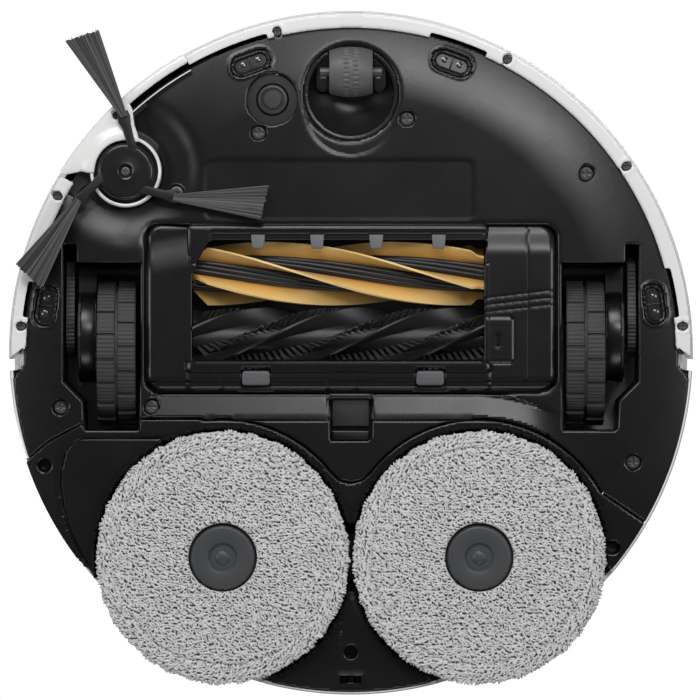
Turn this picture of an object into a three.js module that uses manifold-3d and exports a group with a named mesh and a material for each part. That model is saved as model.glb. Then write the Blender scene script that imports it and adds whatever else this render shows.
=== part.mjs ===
// Robot vacuum and mop, 350 mm across, standing on its wheels.
// Millimetres. +Z is up, the floor is z = 0, the front is -Y, and the robot's right hand is -X.
import * as THREE from 'three';
import { mergeVertices } from 'three/addons/utils/BufferGeometryUtils.js';
import Module from 'manifold-3d';

const wasm = await Module();
wasm.setup();

// Driving dimensions
const bodyRadius = 175;         // outside of the bumper and of the casing
const gap = 0.4;                // running and assembly gap between pieces
const above = 100;              // a cut that ends here clears the whole robot
const under = 40;               // a cut that ends here clears the base and stops below the casing
const wall = 2;                 // wall of a moulded box
const skin = 3;                 // thickness of the base plate
const clearance = 10;           // floor to the flat of the base plate
const bumper = { inner: 166.8, wallInner: 171.8, bottom: 11.6, lipTop: 14, top: 76 };
const base = { frontRadius: 167.2, rearRadius: 173 };
const deck = { bottom: 79, top: 81.5, ringInner: 150, ringTop: 86, coverTop: 88.6 };
const wheel = { x: 120, z: 37.5, radius: 37.5, width: 20, rimRadius: 24 };
const suspension = { y: -42, z: 34 };
const leg = { y: -13.8, z: 36, hubRadius: 15.6, tipY: -44, tipZ: 34, inner: 141.8, outer: 146.1 };
const bay = { x0: -106.4, x1: 106.2, y0: -66.3, y1: 20.5, corner: 8.5, top: 40 };
const cover = { x0: -103.4, x1: 103.2, y0: -62.4, y1: 17.9, corner: 6.5, bottom: 8.6, top: 12,
  stripBottom: 5.4 };
const windowEdge = { x0: -81.8, x1: 68.7, y0: -57.8, y1: 5.1, slopeX: -72.1, slopeY: -40.2 };
const roller = { z: 20.2, radius: 16.4, frontY: -40.6, rearY: -7, x0: -81.2, x1: 68.2,
  core: 7.5, shaft: 5, end: 103, pitch: 325 };
const caster = { y: -132.9, radius: 25, wheelY: -143.8, wheelRadius: 12.9 };
const brush = { x: -115.1, y: -92.7, hub: 14.6, ringInner: 16.6, ring: 18.2, neck: 29.3, tip: 73.7,
  dish: 40 };
const brushPivot = { x: -87.5, y: -145.5 };
const mop = { x: 65.5, y: 104.4, pad: 65.1, pocket: 67.5, seam: 70.4, padTop: 7, hub: 17 };
const mopPivot = { x: -126, y: 66 };
const turret = { y: 62, radius: 44, bottom: 62, top: 106 };

const turn = Math.PI / 180;     // degrees to radians
const fineness = 0.3;           // share of the facets that each round shape asks for
const sidesOf = (wanted) => Math.max(12, 4 * Math.round(wanted * fineness / 4));
const arcSteps = (wanted) => Math.max(3, Math.round(wanted * fineness));

// Solids from outlines, profiles and cylinders
function solidOf(geometry) {
  const bare = geometry.clone();
  bare.deleteAttribute('normal');
  bare.deleteAttribute('uv');
  const merged = mergeVertices(bare, 1e-4);
  return new wasm.Manifold(new wasm.Mesh({
    numProp: 3,
    vertProperties: new Float32Array(merged.attributes.position.array),
    triVerts: new Uint32Array(merged.index.array),
  }));
}

function geometryOf(solid) {
  const mesh = solid.getMesh();
  const geometry = new THREE.BufferGeometry();
  geometry.setAttribute('position', new THREE.BufferAttribute(mesh.vertProperties, 3));
  geometry.setIndex(new THREE.BufferAttribute(mesh.triVerts, 1));
  return geometry;
}

// an outline in XY, standing from z0 to z1
function prism(shape, z0, z1, steps = 24) {
  const curveSegments = arcSteps(steps);
  const geometry = new THREE.ExtrudeGeometry(shape, { depth: z1 - z0, bevelEnabled: false, curveSegments });
  return solidOf(geometry.translate(0, 0, z0));
}

function outline(points) {
  return new THREE.Shape(points.map(([x, y]) => new THREE.Vector2(x, y)));
}

function roundedRectangle({ x0, x1, y0, y1, corner }) {
  const shape = new THREE.Shape();
  shape.moveTo(x0 + corner, y0);
  shape.lineTo(x1 - corner, y0);
  shape.absarc(x1 - corner, y0 + corner, corner, -90 * turn, 0);
  shape.absarc(x1 - corner, y1 - corner, corner, 0, 90 * turn);
  shape.absarc(x0 + corner, y1 - corner, corner, 90 * turn, 180 * turn);
  shape.absarc(x0 + corner, y0 + corner, corner, 180 * turn, 270 * turn);
  return shape;
}

function box(x0, x1, y0, y1, z0, z1) {
  const geometry = new THREE.BoxGeometry(x1 - x0, y1 - y0, z1 - z0);
  return solidOf(geometry.translate((x0 + x1) / 2, (y0 + y1) / 2, (z0 + z1) / 2));
}

// an upright cylinder
function disc(x, y, radius, z0, z1, sides = 48) {
  const geometry = new THREE.CylinderGeometry(radius, radius, z1 - z0, sidesOf(sides));
  return solidOf(geometry.rotateX(90 * turn).translate(x, y, (z0 + z1) / 2));
}

// a cylinder lying along X
function barAlongX(x0, x1, y, z, radius, sides = 32) {
  const geometry = new THREE.CylinderGeometry(radius, radius, x1 - x0, sidesOf(sides));
  return solidOf(geometry.rotateZ(90 * turn).translate((x0 + x1) / 2, y, z));
}

// a profile of [radius, z] corners turned round an upright axis
function turned(profile, sides = 96, x = 0, y = 0) {
  const points = profile.map(([radius, z]) => new THREE.Vector2(radius, z));
  const geometry = new THREE.LatheGeometry(points, sidesOf(sides));
  return solidOf(geometry.rotateX(90 * turn).translate(x, y, 0));
}

// a piece of a flat ring round (x, y), between two angles in degrees
function ringSector(inner, outer, from, to, x = 0, y = 0) {
  const shape = new THREE.Shape();
  shape.absarc(x, y, outer, from * turn, to * turn);
  shape.absarc(x, y, inner, to * turn, from * turn, true);
  return shape;
}

function angleOf(x, y) {
  return Math.atan2(y, x) / turn;
}

// a stadium outline, long side along its angle
function capsule(x, y, length, width, angle) {
  const half = (length - width) / 2;
  const dx = half * Math.cos(angle * turn);
  const dy = half * Math.sin(angle * turn);
  const shape = new THREE.Shape();
  shape.absarc(x + dx, y + dy, width / 2, (angle - 90) * turn, (angle + 90) * turn);
  shape.absarc(x - dx, y - dy, width / 2, (angle + 90) * turn, (angle + 270) * turn);
  return shape;
}

// Scene and finishes
const robot = new THREE.Group();

const finishes = {
  blackPlastic: { color: 0x262627, roughness: 0.45, metalness: 0 },
  greyPlastic: { color: 0x45464a, roughness: 0.5, metalness: 0 },
  whitePlastic: { color: 0xf0f0ef, roughness: 0.3, metalness: 0 },
  smokedWindow: { color: 0x0b0b0e, roughness: 0.08, metalness: 0 },
  rubber: { color: 0x1c1c1d, roughness: 0.8, metalness: 0 },
  goldRubber: { color: 0xc88f3f, roughness: 0.4, metalness: 0.2 },
  bristle: { color: 0x4a4a4a, roughness: 0.6, metalness: 0 },
  microfibre: { color: 0xb8b8b8, roughness: 1, metalness: 0 },
  circuitBoard: { color: 0x1c5b35, roughness: 0.6, metalness: 0 },
  clearBin: { color: 0x5d6266, roughness: 0.1, metalness: 0 },
  filterPaper: { color: 0xe6e2d6, roughness: 0.9, metalness: 0 },
  metal: { color: 0xc0c2c4, roughness: 0.3, metalness: 1 },
};

function addPiece(name, shape, finish, parent = robot) {
  const geometry = shape.isBufferGeometry ? shape : geometryOf(shape);
  const mesh = new THREE.Mesh(geometry, new THREE.MeshStandardMaterial(finishes[finish]));
  mesh.name = name;
  parent.add(mesh);
  return mesh;
}

// Base plate and rear deck
const baseScrews = [[-47.2, -112.6], [28.7, -119.7], [120.3, -91.7], [-89.3, -81.8], [-148.4, 27.7],
  [-101.9, 27.6], [144.3, 55.7]];
const cliffSensors = [
  { name: 'cliff_sensor_front_right', x: -51.3, y: -148, angle: -20 },
  { name: 'cliff_sensor_front_left', x: 51.5, y: -148, angle: 20 },
  { name: 'cliff_sensor_right', x: -155.6, y: -24, angle: 98 },
  { name: 'cliff_sensor_left', x: 154.8, y: -24.9, angle: 82 },
];
const sensorSize = { length: 20.5, width: 10.5 };
const carpetSensor = { x: -40.1, y: -129.5, radius: 13.2 };
const deckLatch = { x0: -10.2, x1: 9.9, y0: 23.7, y1: 39.4 };

// the outline of each wheel well, for the right side; x runs outward from the middle
const wellOutline = [[107.7, -46.3], [140, -46.3], [140, -55.6], [147.3, -55.6], [147.3, 14.4],
  [137.3, 24.5], [136.4, 39.7], [107.7, 39.7]];

// the deck's edge follows each mop, with a rounded saddle where the two arcs meet
function deckOutline(radius, grow) {
  const seam = mop.seam + grow;
  const shape = new THREE.Shape();
  shape.moveTo(-166 - grow, 58 - grow);
  shape.lineTo(-158.5, 50.8 - grow);
  shape.lineTo(-136.9, 36.5 - grow);
  shape.absarc(-mop.x, mop.y, seam, -120 * turn, -38 * turn);
  shape.quadraticCurveTo(-4, 66.5 - grow, 0, 66.5 - grow);
  shape.quadraticCurveTo(4, 66.5 - grow, mop.x + seam * Math.cos(218 * turn),
    mop.y + seam * Math.sin(218 * turn));
  shape.absarc(mop.x, mop.y, seam, -142 * turn, -28.3 * turn);
  shape.lineTo(151.6 + grow, 87.5 - grow);
  shape.absarc(0, 0, radius, 30 * turn, angleOf(-166, 58) * turn);
  return shape;
}

// the underside is flat in the middle and curves up towards the rim
const underside = [[0, clearance], [138, clearance], [151, 11.9], [162.5, 14.8], [base.rearRadius, 16.4]];
const plateProfile = [...underside, [base.rearRadius, 16.4 + skin], [161, 14.8 + skin],
  [137, clearance + skin], [0, clearance + skin]];
const deckTop = 22.5;
const deckProfile = [...underside, [base.rearRadius, 19.4], [171.4, deckTop], [0, deckTop]];

function frontRim(inner, outer) {
  return ringSector(inner, outer, 178, 362);
}

function makeBasePlate() {
  let plate = turned(plateProfile, 120);
  plate = plate.add(turned([[0, 11], [brush.dish + 4, 11], [brush.dish + 4, 18.5], [0, 18.5]], 64,
    brush.x, brush.y).subtract(prism(frontRim(159, 260), 0, under))
    .subtract(box(-108.4, 0, -68.4, 0, 0, under)).subtract(box(-160, -105, -60.5, 0, 0, under)));
  plate = plate.subtract(prism(frontRim(base.frontRadius, 200), 0, under, 96));
  plate = plate.subtract(prism(deckOutline(200, gap), 0, under, 48));
  plate = plate.subtract(prism(roundedRectangle(bay), 0, under, 8));
  for (const sign of [-1, 1]) {
    plate = plate.subtract(prism(outline(wellOutline.map(([x, y]) => [sign * x, y])), 0, under));
  }
  plate = plate.subtract(disc(0, caster.y, caster.radius, 0, under, 64));
  // dish round the side brush, then the bed of its arm
  const dish = [[0, 4], [brush.dish, 4], [brush.dish, 9.6], [36, 10.4], [30, 12.6], [24, 14.6], [0, 15.4]];
  plate = plate.subtract(turned(dish, 72, brush.x, brush.y));
  plate = plate.subtract(makeArmPlate(0.5, 5, 40));
  for (const sensor of cliffSensors) {
    const hole = capsule(sensor.x, sensor.y, sensorSize.length + 2 * gap, sensorSize.width + 2 * gap,
      sensor.angle);
    plate = plate.subtract(prism(hole, 0, under, 12));
  }
  plate = plate.subtract(disc(carpetSensor.x, carpetSensor.y, carpetSensor.radius + gap, 0, under));
  for (const [x, y] of baseScrews) {
    plate = plate.subtract(disc(x, y, 4.1, 0, 12.2, 24));
  }
  const latchHole = roundedRectangle({ x0: -11, x1: 10.7, y0: 22.9, y1: 45, corner: 1.5 });
  return plate.subtract(prism(latchHole, 0, under, 4));
}

// crescent and ring together; grow widens it for the bed in the base plate
function makeArmPlate(grow, z0, z1) {
  const start = angleOf(-148.6, -91) + 360;
  const end = angleOf(-85.1, -150.9) + 360;
  const thin = ringSector(170.8 - grow, 174.6 + 8 * grow, start - grow, end + grow);
  const wide = new THREE.Shape();
  wide.absarc(0, 0, 174.6 + 8 * grow, (start - grow) * turn, angleOf(-116, -128) * turn + 360 * turn);
  wide.lineTo(-114.7 + grow, -126.2);
  wide.lineTo(-113.5 + grow, -112);
  wide.lineTo(brush.x, brush.y);
  wide.lineTo(-134, -93.2 + grow);
  return prism(thin, z0, z1, 32).add(prism(wide, z0, z1, 32))
    .add(disc(brush.x, brush.y, brush.ring + grow, z0, z1, 64))
    .add(disc(brushPivot.x, brushPivot.y, 3.2 + grow, z0, z1, 24));
}

function makeRearDeck() {
  let plate = turned(deckProfile, 120).intersect(prism(deckOutline(200, 0), 0, under, 48));
  for (const sign of [-1, 1]) {
    plate = plate.subtract(disc(sign * mop.x, mop.y, mop.pocket, 0, 19.5, 96));
  }
  plate = plate.subtract(disc(mop.x, mop.y, 5.6, 0, under, 24));
  const swing = Math.hypot(mop.y - mopPivot.y, -mop.x - mopPivot.x);
  const rest = angleOf(-mop.x - mopPivot.x, mop.y - mopPivot.y);
  plate = plate.subtract(prism(ringSector(swing - 6, swing + 6, rest - 5, rest + 30, mopPivot.x,
    mopPivot.y), 0, under, 12));
  plate = plate.subtract(disc(mopPivot.x, mopPivot.y, 4.4, 0, under, 24));
  plate = plate.subtract(disc(0, 152.7, 3.6, 0, 18, 24));
  return plate.subtract(prism(roundedRectangle({ x0: -7.2, x1: 6.8, y0: 163.3, y1: 170.4, corner: 0.8 }),
    0, 18, 4));
}

addPiece('base_plate', makeBasePlate(), 'blackPlastic');
addPiece('rear_deck', makeRearDeck(), 'blackPlastic');
addPiece('deck_latch', box(deckLatch.x0, deckLatch.x1, deckLatch.y0, deckLatch.y1, 10.2, 16), 'greyPlastic');
for (const { name, x, y, angle } of cliffSensors) {
  addPiece(name, prism(capsule(x, y, sensorSize.length, sensorSize.width, angle), 11.2, 17.6, 12),
    'smokedWindow');
}
addPiece('carpet_sensor', turned([[0, 10.6], [8.1, 10.6], [8.1, 11.4], [carpetSensor.radius, 10.2],
  [carpetSensor.radius, 20], [0, 20]], 48, carpetSensor.x, carpetSensor.y), 'blackPlastic');

// Roller bay and its cover
const latch = { right: -48.5, left: 40.5, halfWidth: 7.2, y0: 9, y1: 16.6, travel: 2 };
const hooks = [-47.5, -17.3, 12.9, 44.9];

function makeBay() {
  const outer = box(-106.6, 106.6, -66, 20.3, clearance + skin + gap, bay.top);
  const inner = box(-104.6, 104.6, -64, 18.3, 0, bay.top - wall);
  const duct = box(-40, 40, -35, -10, 0, 60);
  return outer.subtract(inner).subtract(duct);
}

function makeCover() {
  const plate = prism(roundedRectangle(cover), cover.bottom, cover.top, 8);
  const edge = windowEdge;
  const opening = outline([[edge.x0, edge.y1], [edge.x0, edge.slopeY], [edge.slopeX, edge.y0],
    [edge.x1, edge.y0], [edge.x1, edge.y1]]);
  // the rear strip hangs lower and reaches under the rear roller
  const strip = box(edge.x0 - 4, edge.x1 + 4, edge.y1, cover.y1 - 1, cover.stripBottom, cover.bottom + 1);
  const room = barAlongX(edge.x0 - 0.2, edge.x1 + 0.2, roller.rearY, roller.z, roller.radius + 0.6, 64);
  let frame = plate.subtract(prism(opening, 0, under)).add(strip).subtract(room);
  for (const x of [latch.right, latch.left]) {
    frame = frame.subtract(box(x - latch.halfWidth - gap, x + latch.halfWidth + gap,
      latch.y0 - latch.travel - gap, latch.y1 + gap, 0, under));
  }
  // four hooks reach over the front of the opening
  for (const x of hooks) {
    frame = frame.add(prism(outline([[x - 3.8, cover.y0 + 1], [x + 3.8, cover.y0 + 1], [x + 2.7, -55],
      [x - 2.7, -55]]), cover.bottom - 0.8, cover.bottom + 1.6));
  }
  return frame;
}

addPiece('brush_bay', makeBay(), 'blackPlastic');
addPiece('brush_cover', makeCover(), 'blackPlastic');
for (const side of ['right', 'left']) {
  addPiece(`cover_latch_${side}`, box(latch[side] - latch.halfWidth, latch[side] + latch.halfWidth,
    latch.y0, latch.y1, cover.stripBottom - 0.2, cover.stripBottom + 2.8), 'greyPlastic');
}

// A roller along X: helical blades round a core. Its section turns evenly along its length.
function rollerGeometry(blades, handed, taper) {
  const sectionSteps = blades * 6;
  const steps = 14;
  const positions = [];
  const index = [];
  for (let i = 0; i <= steps; i++) {
    const x = roller.x0 + (roller.x1 - roller.x0) * i / steps;
    const twist = handed * (x - roller.x0) / roller.pitch * 360;
    const reach = taper ? Math.min(roller.radius, 5.2 + (x - roller.x0) * 0.85) : roller.radius;
    for (let k = 0; k < sectionSteps; k++) {
      const blade = [reach, reach, 0.62 * roller.radius, roller.core, roller.core,
        0.62 * roller.radius][k % 6];
      const radius = Math.min(blade, reach);
      const shift = [-1.2, 1.2, 9, 16, -16, -9][k % 6];
      const angle = (Math.floor(k / 6) * 360 / blades + (k % 6 > 3 ? 360 / blades : 0) + shift + twist) * turn;
      positions.push(x, radius * Math.cos(angle), radius * Math.sin(angle));
    }
  }
  for (let i = 0; i < steps; i++) {
    for (let k = 0; k < sectionSteps; k++) {
      const a = i * sectionSteps + k;
      const b = i * sectionSteps + (k + 1) % sectionSteps;
      index.push(a, b, a + sectionSteps, b, b + sectionSteps, a + sectionSteps);
    }
  }
  for (const [row, flip] of [[0, true], [steps, false]]) {
    const centre = positions.length / 3;
    positions.push(row ? roller.x1 : roller.x0, 0, 0);
    for (let k = 0; k < sectionSteps; k++) {
      const a = row * sectionSteps + k;
      const b = row * sectionSteps + (k + 1) % sectionSteps;
      index.push(...(flip ? [centre, b, a] : [centre, a, b]));
    }
  }
  const geometry = new THREE.BufferGeometry();
  geometry.setAttribute('position', new THREE.Float32BufferAttribute(positions, 3));
  geometry.setIndex(index);
  return geometry;
}

for (const [name, y, blades, handed, finish] of [
  ['roller_front', roller.frontY, 5, 1, 'goldRubber'],
  ['roller_rear', roller.rearY, 6, -1, 'rubber'],
]) {
  const shaft = barAlongX(-roller.end, roller.end, 0, 0, roller.shaft, 24);
  const mesh = addPiece(name, solidOf(rollerGeometry(blades, handed, name === 'roller_front'))
    .add(shaft), finish);
  mesh.position.set(0, y, roller.z);
}

// Wheels and climbing legs
for (const [side, sign] of [['right', -1], ['left', 1]]) {
  const wheelX = sign * wheel.x;
  const axle = new THREE.Group();
  axle.position.set(wheelX, 0, wheel.z);
  axle.rotation.y = 90 * turn;
  robot.add(axle);
  const half = wheel.width / 2;
  const tyreProfile = [[wheel.rimRadius, -half], [35, -half], [36.8, -half + 1.5], [wheel.radius, -half + 4],
    [wheel.radius, half - 4], [36.8, half - 1.5], [35, half], [wheel.rimRadius, half],
      [wheel.rimRadius, -half]];
  addPiece(`${side}_wheel_tyre`, turned(tyreProfile, 64), 'rubber', axle);
  const rimProfile = [[6, -half + 1], [wheel.rimRadius - gap, -half + 1], [wheel.rimRadius - gap, half - 1],
    [6, half - 1], [6, -half + 1]];
  addPiece(`${side}_wheel_rim`, turned(rimProfile, 48), 'greyPlastic', axle);

  // the gearbox is the outer end of the suspension arm, and carries the axle
  const along = (x0, x1, y, z, radius, sides) =>
    barAlongX(Math.min(sign * x0, sign * x1), Math.max(sign * x0, sign * x1), y, z, radius, sides);
  const armPlate = (x0, x1, y0, y1, z0, z1) =>
    box(Math.min(sign * x0, sign * x1), Math.max(sign * x0, sign * x1), y0, y1, z0, z1);
  const gearbox = along(130.7, 139.7, -8.7, wheel.z, 23.5, 48)
    .add(along(114, 131, 0, wheel.z, 5.5, 24))
    .add(along(130.7, 139.7, suspension.y, suspension.z, 4, 24))
    .add(armPlate(130.7, 139.7, suspension.y, -10, suspension.z - 4, suspension.z + 8))
    .add(along(109, 135, suspension.y, suspension.z, 3, 24));
  addPiece(`${side}_wheel_gearbox`, gearbox, 'blackPlastic');

  const teeth = [];
  for (let y = -38; y < -8; y += 4) {
    teeth.push(armPlate(leg.inner, leg.outer, y, y + 2, 20, 30));
  }
  const bar = new THREE.Shape();
  bar.absarc(leg.tipY, leg.tipZ, 5, 90 * turn, 270 * turn);
  bar.lineTo(leg.y, 24);
  bar.lineTo(leg.y, 48);
  const barGeometry = new THREE.ExtrudeGeometry(bar,
    { depth: leg.outer - leg.inner, bevelEnabled: false, curveSegments: 6 });
  barGeometry.applyMatrix4(new THREE.Matrix4().makeBasis(new THREE.Vector3(0, 1, 0),
    new THREE.Vector3(0, 0, 1), new THREE.Vector3(1, 0, 0)));
  barGeometry.translate(sign > 0 ? leg.inner : -leg.outer, 0, 0);
  let climber = along(leg.inner, leg.outer, leg.y, leg.z, leg.hubRadius, 48).add(solidOf(barGeometry));
  for (const tooth of teeth) {
    climber = climber.subtract(tooth.intersect(armPlate(leg.inner - 1, leg.outer + 1, -60, 10, 0, 25.5)));
  }
  addPiece(`${side}_climbing_leg`, climber, 'blackPlastic');

  const wellTop = deck.bottom - gap;
  const outer = armPlate(107, 149.4, -58, 42, 18.2, wellTop)
    .subtract(prism(deckOutline(200, gap), 0, deckTop + gap, 48));
  const inner = prism(outline(wellOutline.map(([x, y]) => [sign * x, y])), 0, wellTop - wall);
  addPiece(`${side}_wheel_well`, outer.subtract(inner), 'blackPlastic');
}

// Caster
addPiece('caster_cup', turned([[caster.radius + gap, 18.2], [caster.radius + 1.8, 18.2],
  [caster.radius + 1.8, 36], [0, 36], [0, 34], [caster.radius + gap, 34], [caster.radius + gap, 18.2]],
  64, 0, caster.y), 'blackPlastic');

function makeSwivel() {
  const bowl = [[caster.radius - 0.8, 10.4], [caster.radius - 0.8, 33], [0, 33], [0, 25], [12, 22], [19, 16],
    [caster.radius - 2.3, 10.4], [caster.radius - 0.8, 10.4]];
  const cheek = new THREE.Shape();
  cheek.absarc(caster.wheelY, caster.wheelRadius, 5, 180 * turn, 360 * turn);
  cheek.lineTo(caster.wheelY + 6.5, 26);
  cheek.lineTo(caster.wheelY - 6.5, 26);
  const upright = new THREE.Matrix4().makeBasis(new THREE.Vector3(0, 1, 0), new THREE.Vector3(0, 0, 1),
    new THREE.Vector3(1, 0, 0));
  let swivel = turned(bowl, 64, 0, caster.y);
  for (const x of [-16.3, 12.1]) {
    const geometry = new THREE.ExtrudeGeometry(cheek, { depth: 4.2, bevelEnabled: false, curveSegments: 8 });
    swivel = swivel.add(solidOf(geometry.applyMatrix4(upright).translate(x, 0, 0)));
  }
  const wheelRoom = barAlongX(-11.9, 11.9, caster.wheelY, caster.wheelRadius, caster.wheelRadius + 1.2, 48);
  swivel = swivel.intersect(disc(0, caster.y, caster.radius - 0.8, 0, 33, 64));
  return swivel.subtract(wheelRoom).subtract(barAlongX(-17, 17, caster.wheelY, caster.wheelRadius, 2.8, 24));
}

addPiece('caster_swivel', makeSwivel(), 'blackPlastic');
const casterAxle = new THREE.Group();
casterAxle.position.set(0, caster.wheelY, caster.wheelRadius);
casterAxle.rotation.y = 90 * turn;
robot.add(casterAxle);
addPiece('caster_wheel', turned([[2.8, -11.2], [9.6, -11.2], [11.6, -8], [12.6, -4], [caster.wheelRadius, 0],
  [12.6, 4], [11.6, 8], [9.6, 11.2], [2.8, 11.2], [2.8, -11.2]], 48), 'greyPlastic', casterAxle);
addPiece('caster_axle', disc(0, 0, 2.4, -15.8, 15.8, 24), 'metal', casterAxle);

// Side brush
const armBottom = 8.8;
const armTop = 11.2;
addPiece('side_brush_arm', makeArmPlate(0, armBottom, armTop)
  .subtract(disc(brush.x, brush.y, brush.ringInner, 0, armTop - 0.8, 64))
  .add(turned([[brush.ringInner, 6.4], [brush.ring, 6.4], [brush.ring, armTop], [brush.ringInner, armTop],
    [brush.ringInner, 6.4]], 64, brush.x, brush.y)), 'whitePlastic');

const brushGroup = new THREE.Group();
brushGroup.position.set(brush.x, brush.y, 0);
robot.add(brushGroup);
const tufts = [12.5, 132.5, 252.5];
let hub = turned([[0, 3.6], [12.6, 3.6], [14.2, 4.6], [brush.hub, 6.4], [brush.hub, 9.9], [0, 9.9]], 64);
for (const tipAngle of tufts) {
  const root = (tipAngle + 35) * turn;
  const neck = (tipAngle + 15.5) * turn;
  const rootAt = [12.4 * Math.cos(root), 12.4 * Math.sin(root)];
  const neckAt = [brush.neck * Math.cos(neck), brush.neck * Math.sin(neck)];
  const length = Math.hypot(neckAt[0] - rootAt[0], neckAt[1] - rootAt[1]);
  const across = [-(neckAt[1] - rootAt[1]) / length * 2.6, (neckAt[0] - rootAt[0]) / length * 2.6];
  const strip = outline([[rootAt[0] - across[0], rootAt[1] - across[1]],
    [neckAt[0] - across[0], neckAt[1] - across[1]], [neckAt[0] + across[0], neckAt[1] + across[1]],
    [rootAt[0] + across[0], rootAt[1] + across[1]]]);
  hub = hub.add(prism(strip, 4, 6.2));
}
addPiece('side_brush_hub', hub, 'rubber', brushGroup);
tufts.forEach((tipAngle, i) => {
  const neck = (tipAngle + 15.5) * turn;
  const tip = tipAngle * turn;
  const neckAt = [brush.neck * Math.cos(neck), brush.neck * Math.sin(neck)];
  const tipAt = [brush.tip * Math.cos(tip), brush.tip * Math.sin(tip)];
  const length = Math.hypot(tipAt[0] - neckAt[0], tipAt[1] - neckAt[1]);
  const along = [(tipAt[0] - neckAt[0]) / length, (tipAt[1] - neckAt[1]) / length];
  const corner = (base, forward, sideways) => [base[0] + along[0] * forward - along[1] * sideways,
    base[1] + along[1] * forward + along[0] * sideways];
  const fan = outline([corner(neckAt, 0.4, -2.4), corner(tipAt, -1, -8.5), corner(tipAt, 0, 0),
    corner(tipAt, -1, 8.5), corner(neckAt, 0.4, 2.4)]);
  addPiece(`side_brush_tuft_${i + 1}`, prism(fan, 1, 3.4), 'bristle', brushGroup);
});

// Bumper
const bumperScrews = [[-37.8, -164.5], [-150.1, -80.4], [-168.9, -13.7], [80, -150.3], [140.9, -95.5],
  [169.6, -13.7]];
const sensorWindow = { halfWidth: 42, z0: 32, z1: 60, depth: 2 };

function makeBumper() {
  const section = [[bumper.inner, bumper.bottom + 0.6], [bumper.inner + 0.6, bumper.bottom],
    [172.5, bumper.bottom], [bodyRadius, bumper.bottom + 3], [bodyRadius, bumper.top - 2],
    [bodyRadius - 1.2, bumper.top], [bumper.wallInner, bumper.top], [bumper.wallInner, bumper.lipTop],
    [bumper.inner, bumper.lipTop], [bumper.inner, bumper.bottom + 0.6]];
  let shell = turned(section, 144);
  const rear = outline([[-200, 14], [-173.5, 2], [-166, -4], [166, -4], [173.5, 2], [200, 14],
    [200, 200], [-200, 200]]);
  shell = shell.subtract(prism(rear, 0, above));
  shell = shell.subtract(prism(ringSector(150, 190, angleOf(-148.6, -91) - 0.25,
    angleOf(-85.1, -150.9) + 0.25), 0, bumper.lipTop + 1.4, 24));
  const notches = [[angleOf(40.2, -163), angleOf(69.6, -152.2)],
    [angleOf(161.1, -43.1), angleOf(166.2, -17.4)], [angleOf(-166.2, -17.4), angleOf(-163.5, -36)],
    [angleOf(-85, -148), angleOf(-42, -162)]];
  for (const [from, to] of notches) {
    shell = shell.subtract(prism(ringSector(160, 168.6, from, to), 0, bumper.lipTop + 1, 12));
  }
  for (const [x, y] of bumperScrews) {
    shell = shell.subtract(disc(x, y, 2.3, 0, 12.9, 20));
  }
  const { halfWidth, z0, z1, depth } = sensorWindow;
  return shell.subtract(box(-halfWidth, halfWidth, -190, -150, z0, z1)
    .subtract(disc(0, 0, bodyRadius - depth, 0, above, 144)));
}

addPiece('bumper', makeBumper(), 'whitePlastic');
const windowArc = Math.asin(sensorWindow.halfWidth / bodyRadius) / turn - 0.2;
addPiece('front_window', prism(ringSector(bodyRadius - sensorWindow.depth + 0.3, bodyRadius, -90 - windowArc,
  -90 + windowArc), sensorWindow.z0 + 0.3, sensorWindow.z1 - 0.3, 16), 'smokedWindow');

// Upper casing, cover and turret
const binOpening = { x: 72, y0: -52, y1: 4 };
const buttons = [{ name: 'power_button', x: -13 }, { name: 'home_button', x: 13 }];
const buttonAt = { y: -160, radius: 6 };
const contacts = { near: 10, far: 22, z0: 31, z1: 45, face: 173.4 };

function makeUpperCasing() {
  const { ringInner, ringTop } = deck;
  let top = turned([[0, deck.bottom], [172, deck.bottom], [bodyRadius, deck.bottom + 1],
    [bodyRadius, ringTop - 3], [173, ringTop - 1], [170, ringTop], [ringInner, ringTop],
    [ringInner, deck.top], [0, deck.top]], 144);
  const rearWall = turned([[172.1, 26], [174, 20], [174.4, 18], [bodyRadius, 18.4],
    [bodyRadius, deck.bottom + 1], [172.1, deck.bottom + 1], [172.1, 26]], 144);
  const ahead = outline([[-200, 16], [-172.8, 12.8], [-166, 4.6], [166, 4.6], [172.8, 12.8], [200, 16],
    [200, -200], [-200, -200]]);
  const frontWall = turned([[162.2, 20], [164.6, 20], [164.6, deck.bottom + 1], [162.2, deck.bottom + 1],
    [162.2, 20]], 96).intersect(prism(outline([[-200, 12], [200, 12], [200, -200], [-200, -200]]), 0,
    above));
  const joint = (sign) => box(Math.min(sign * 162.6, sign * 172.4), Math.max(sign * 162.6, sign * 172.4),
    9, 13.5, 24, deck.bottom + 1);
  top = top.add(rearWall.subtract(prism(ahead, 0, deck.bottom - 1))).add(frontWall).add(joint(-1))
    .add(joint(1));
  // solid block behind the charging contacts, with a flat seat
  top = top.add(box(-34, 34, 164, 173.2, 26, 50).intersect(disc(0, 0, bodyRadius - 0.5, 0, above, 144)));
  top = top.subtract(box(-30, 30, 172, 190, 28, 48));
  top = top.subtract(box(-binOpening.x, binOpening.x, binOpening.y0, binOpening.y1, 0, above));
  top = top.subtract(disc(0, turret.y, turret.radius + 1, 0, above, 64));
  for (const { x } of buttons) {
    top = top.subtract(disc(x, buttonAt.y, buttonAt.radius + gap, deck.bottom + 3, 100, 32));
  }
  return top;
}

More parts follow.
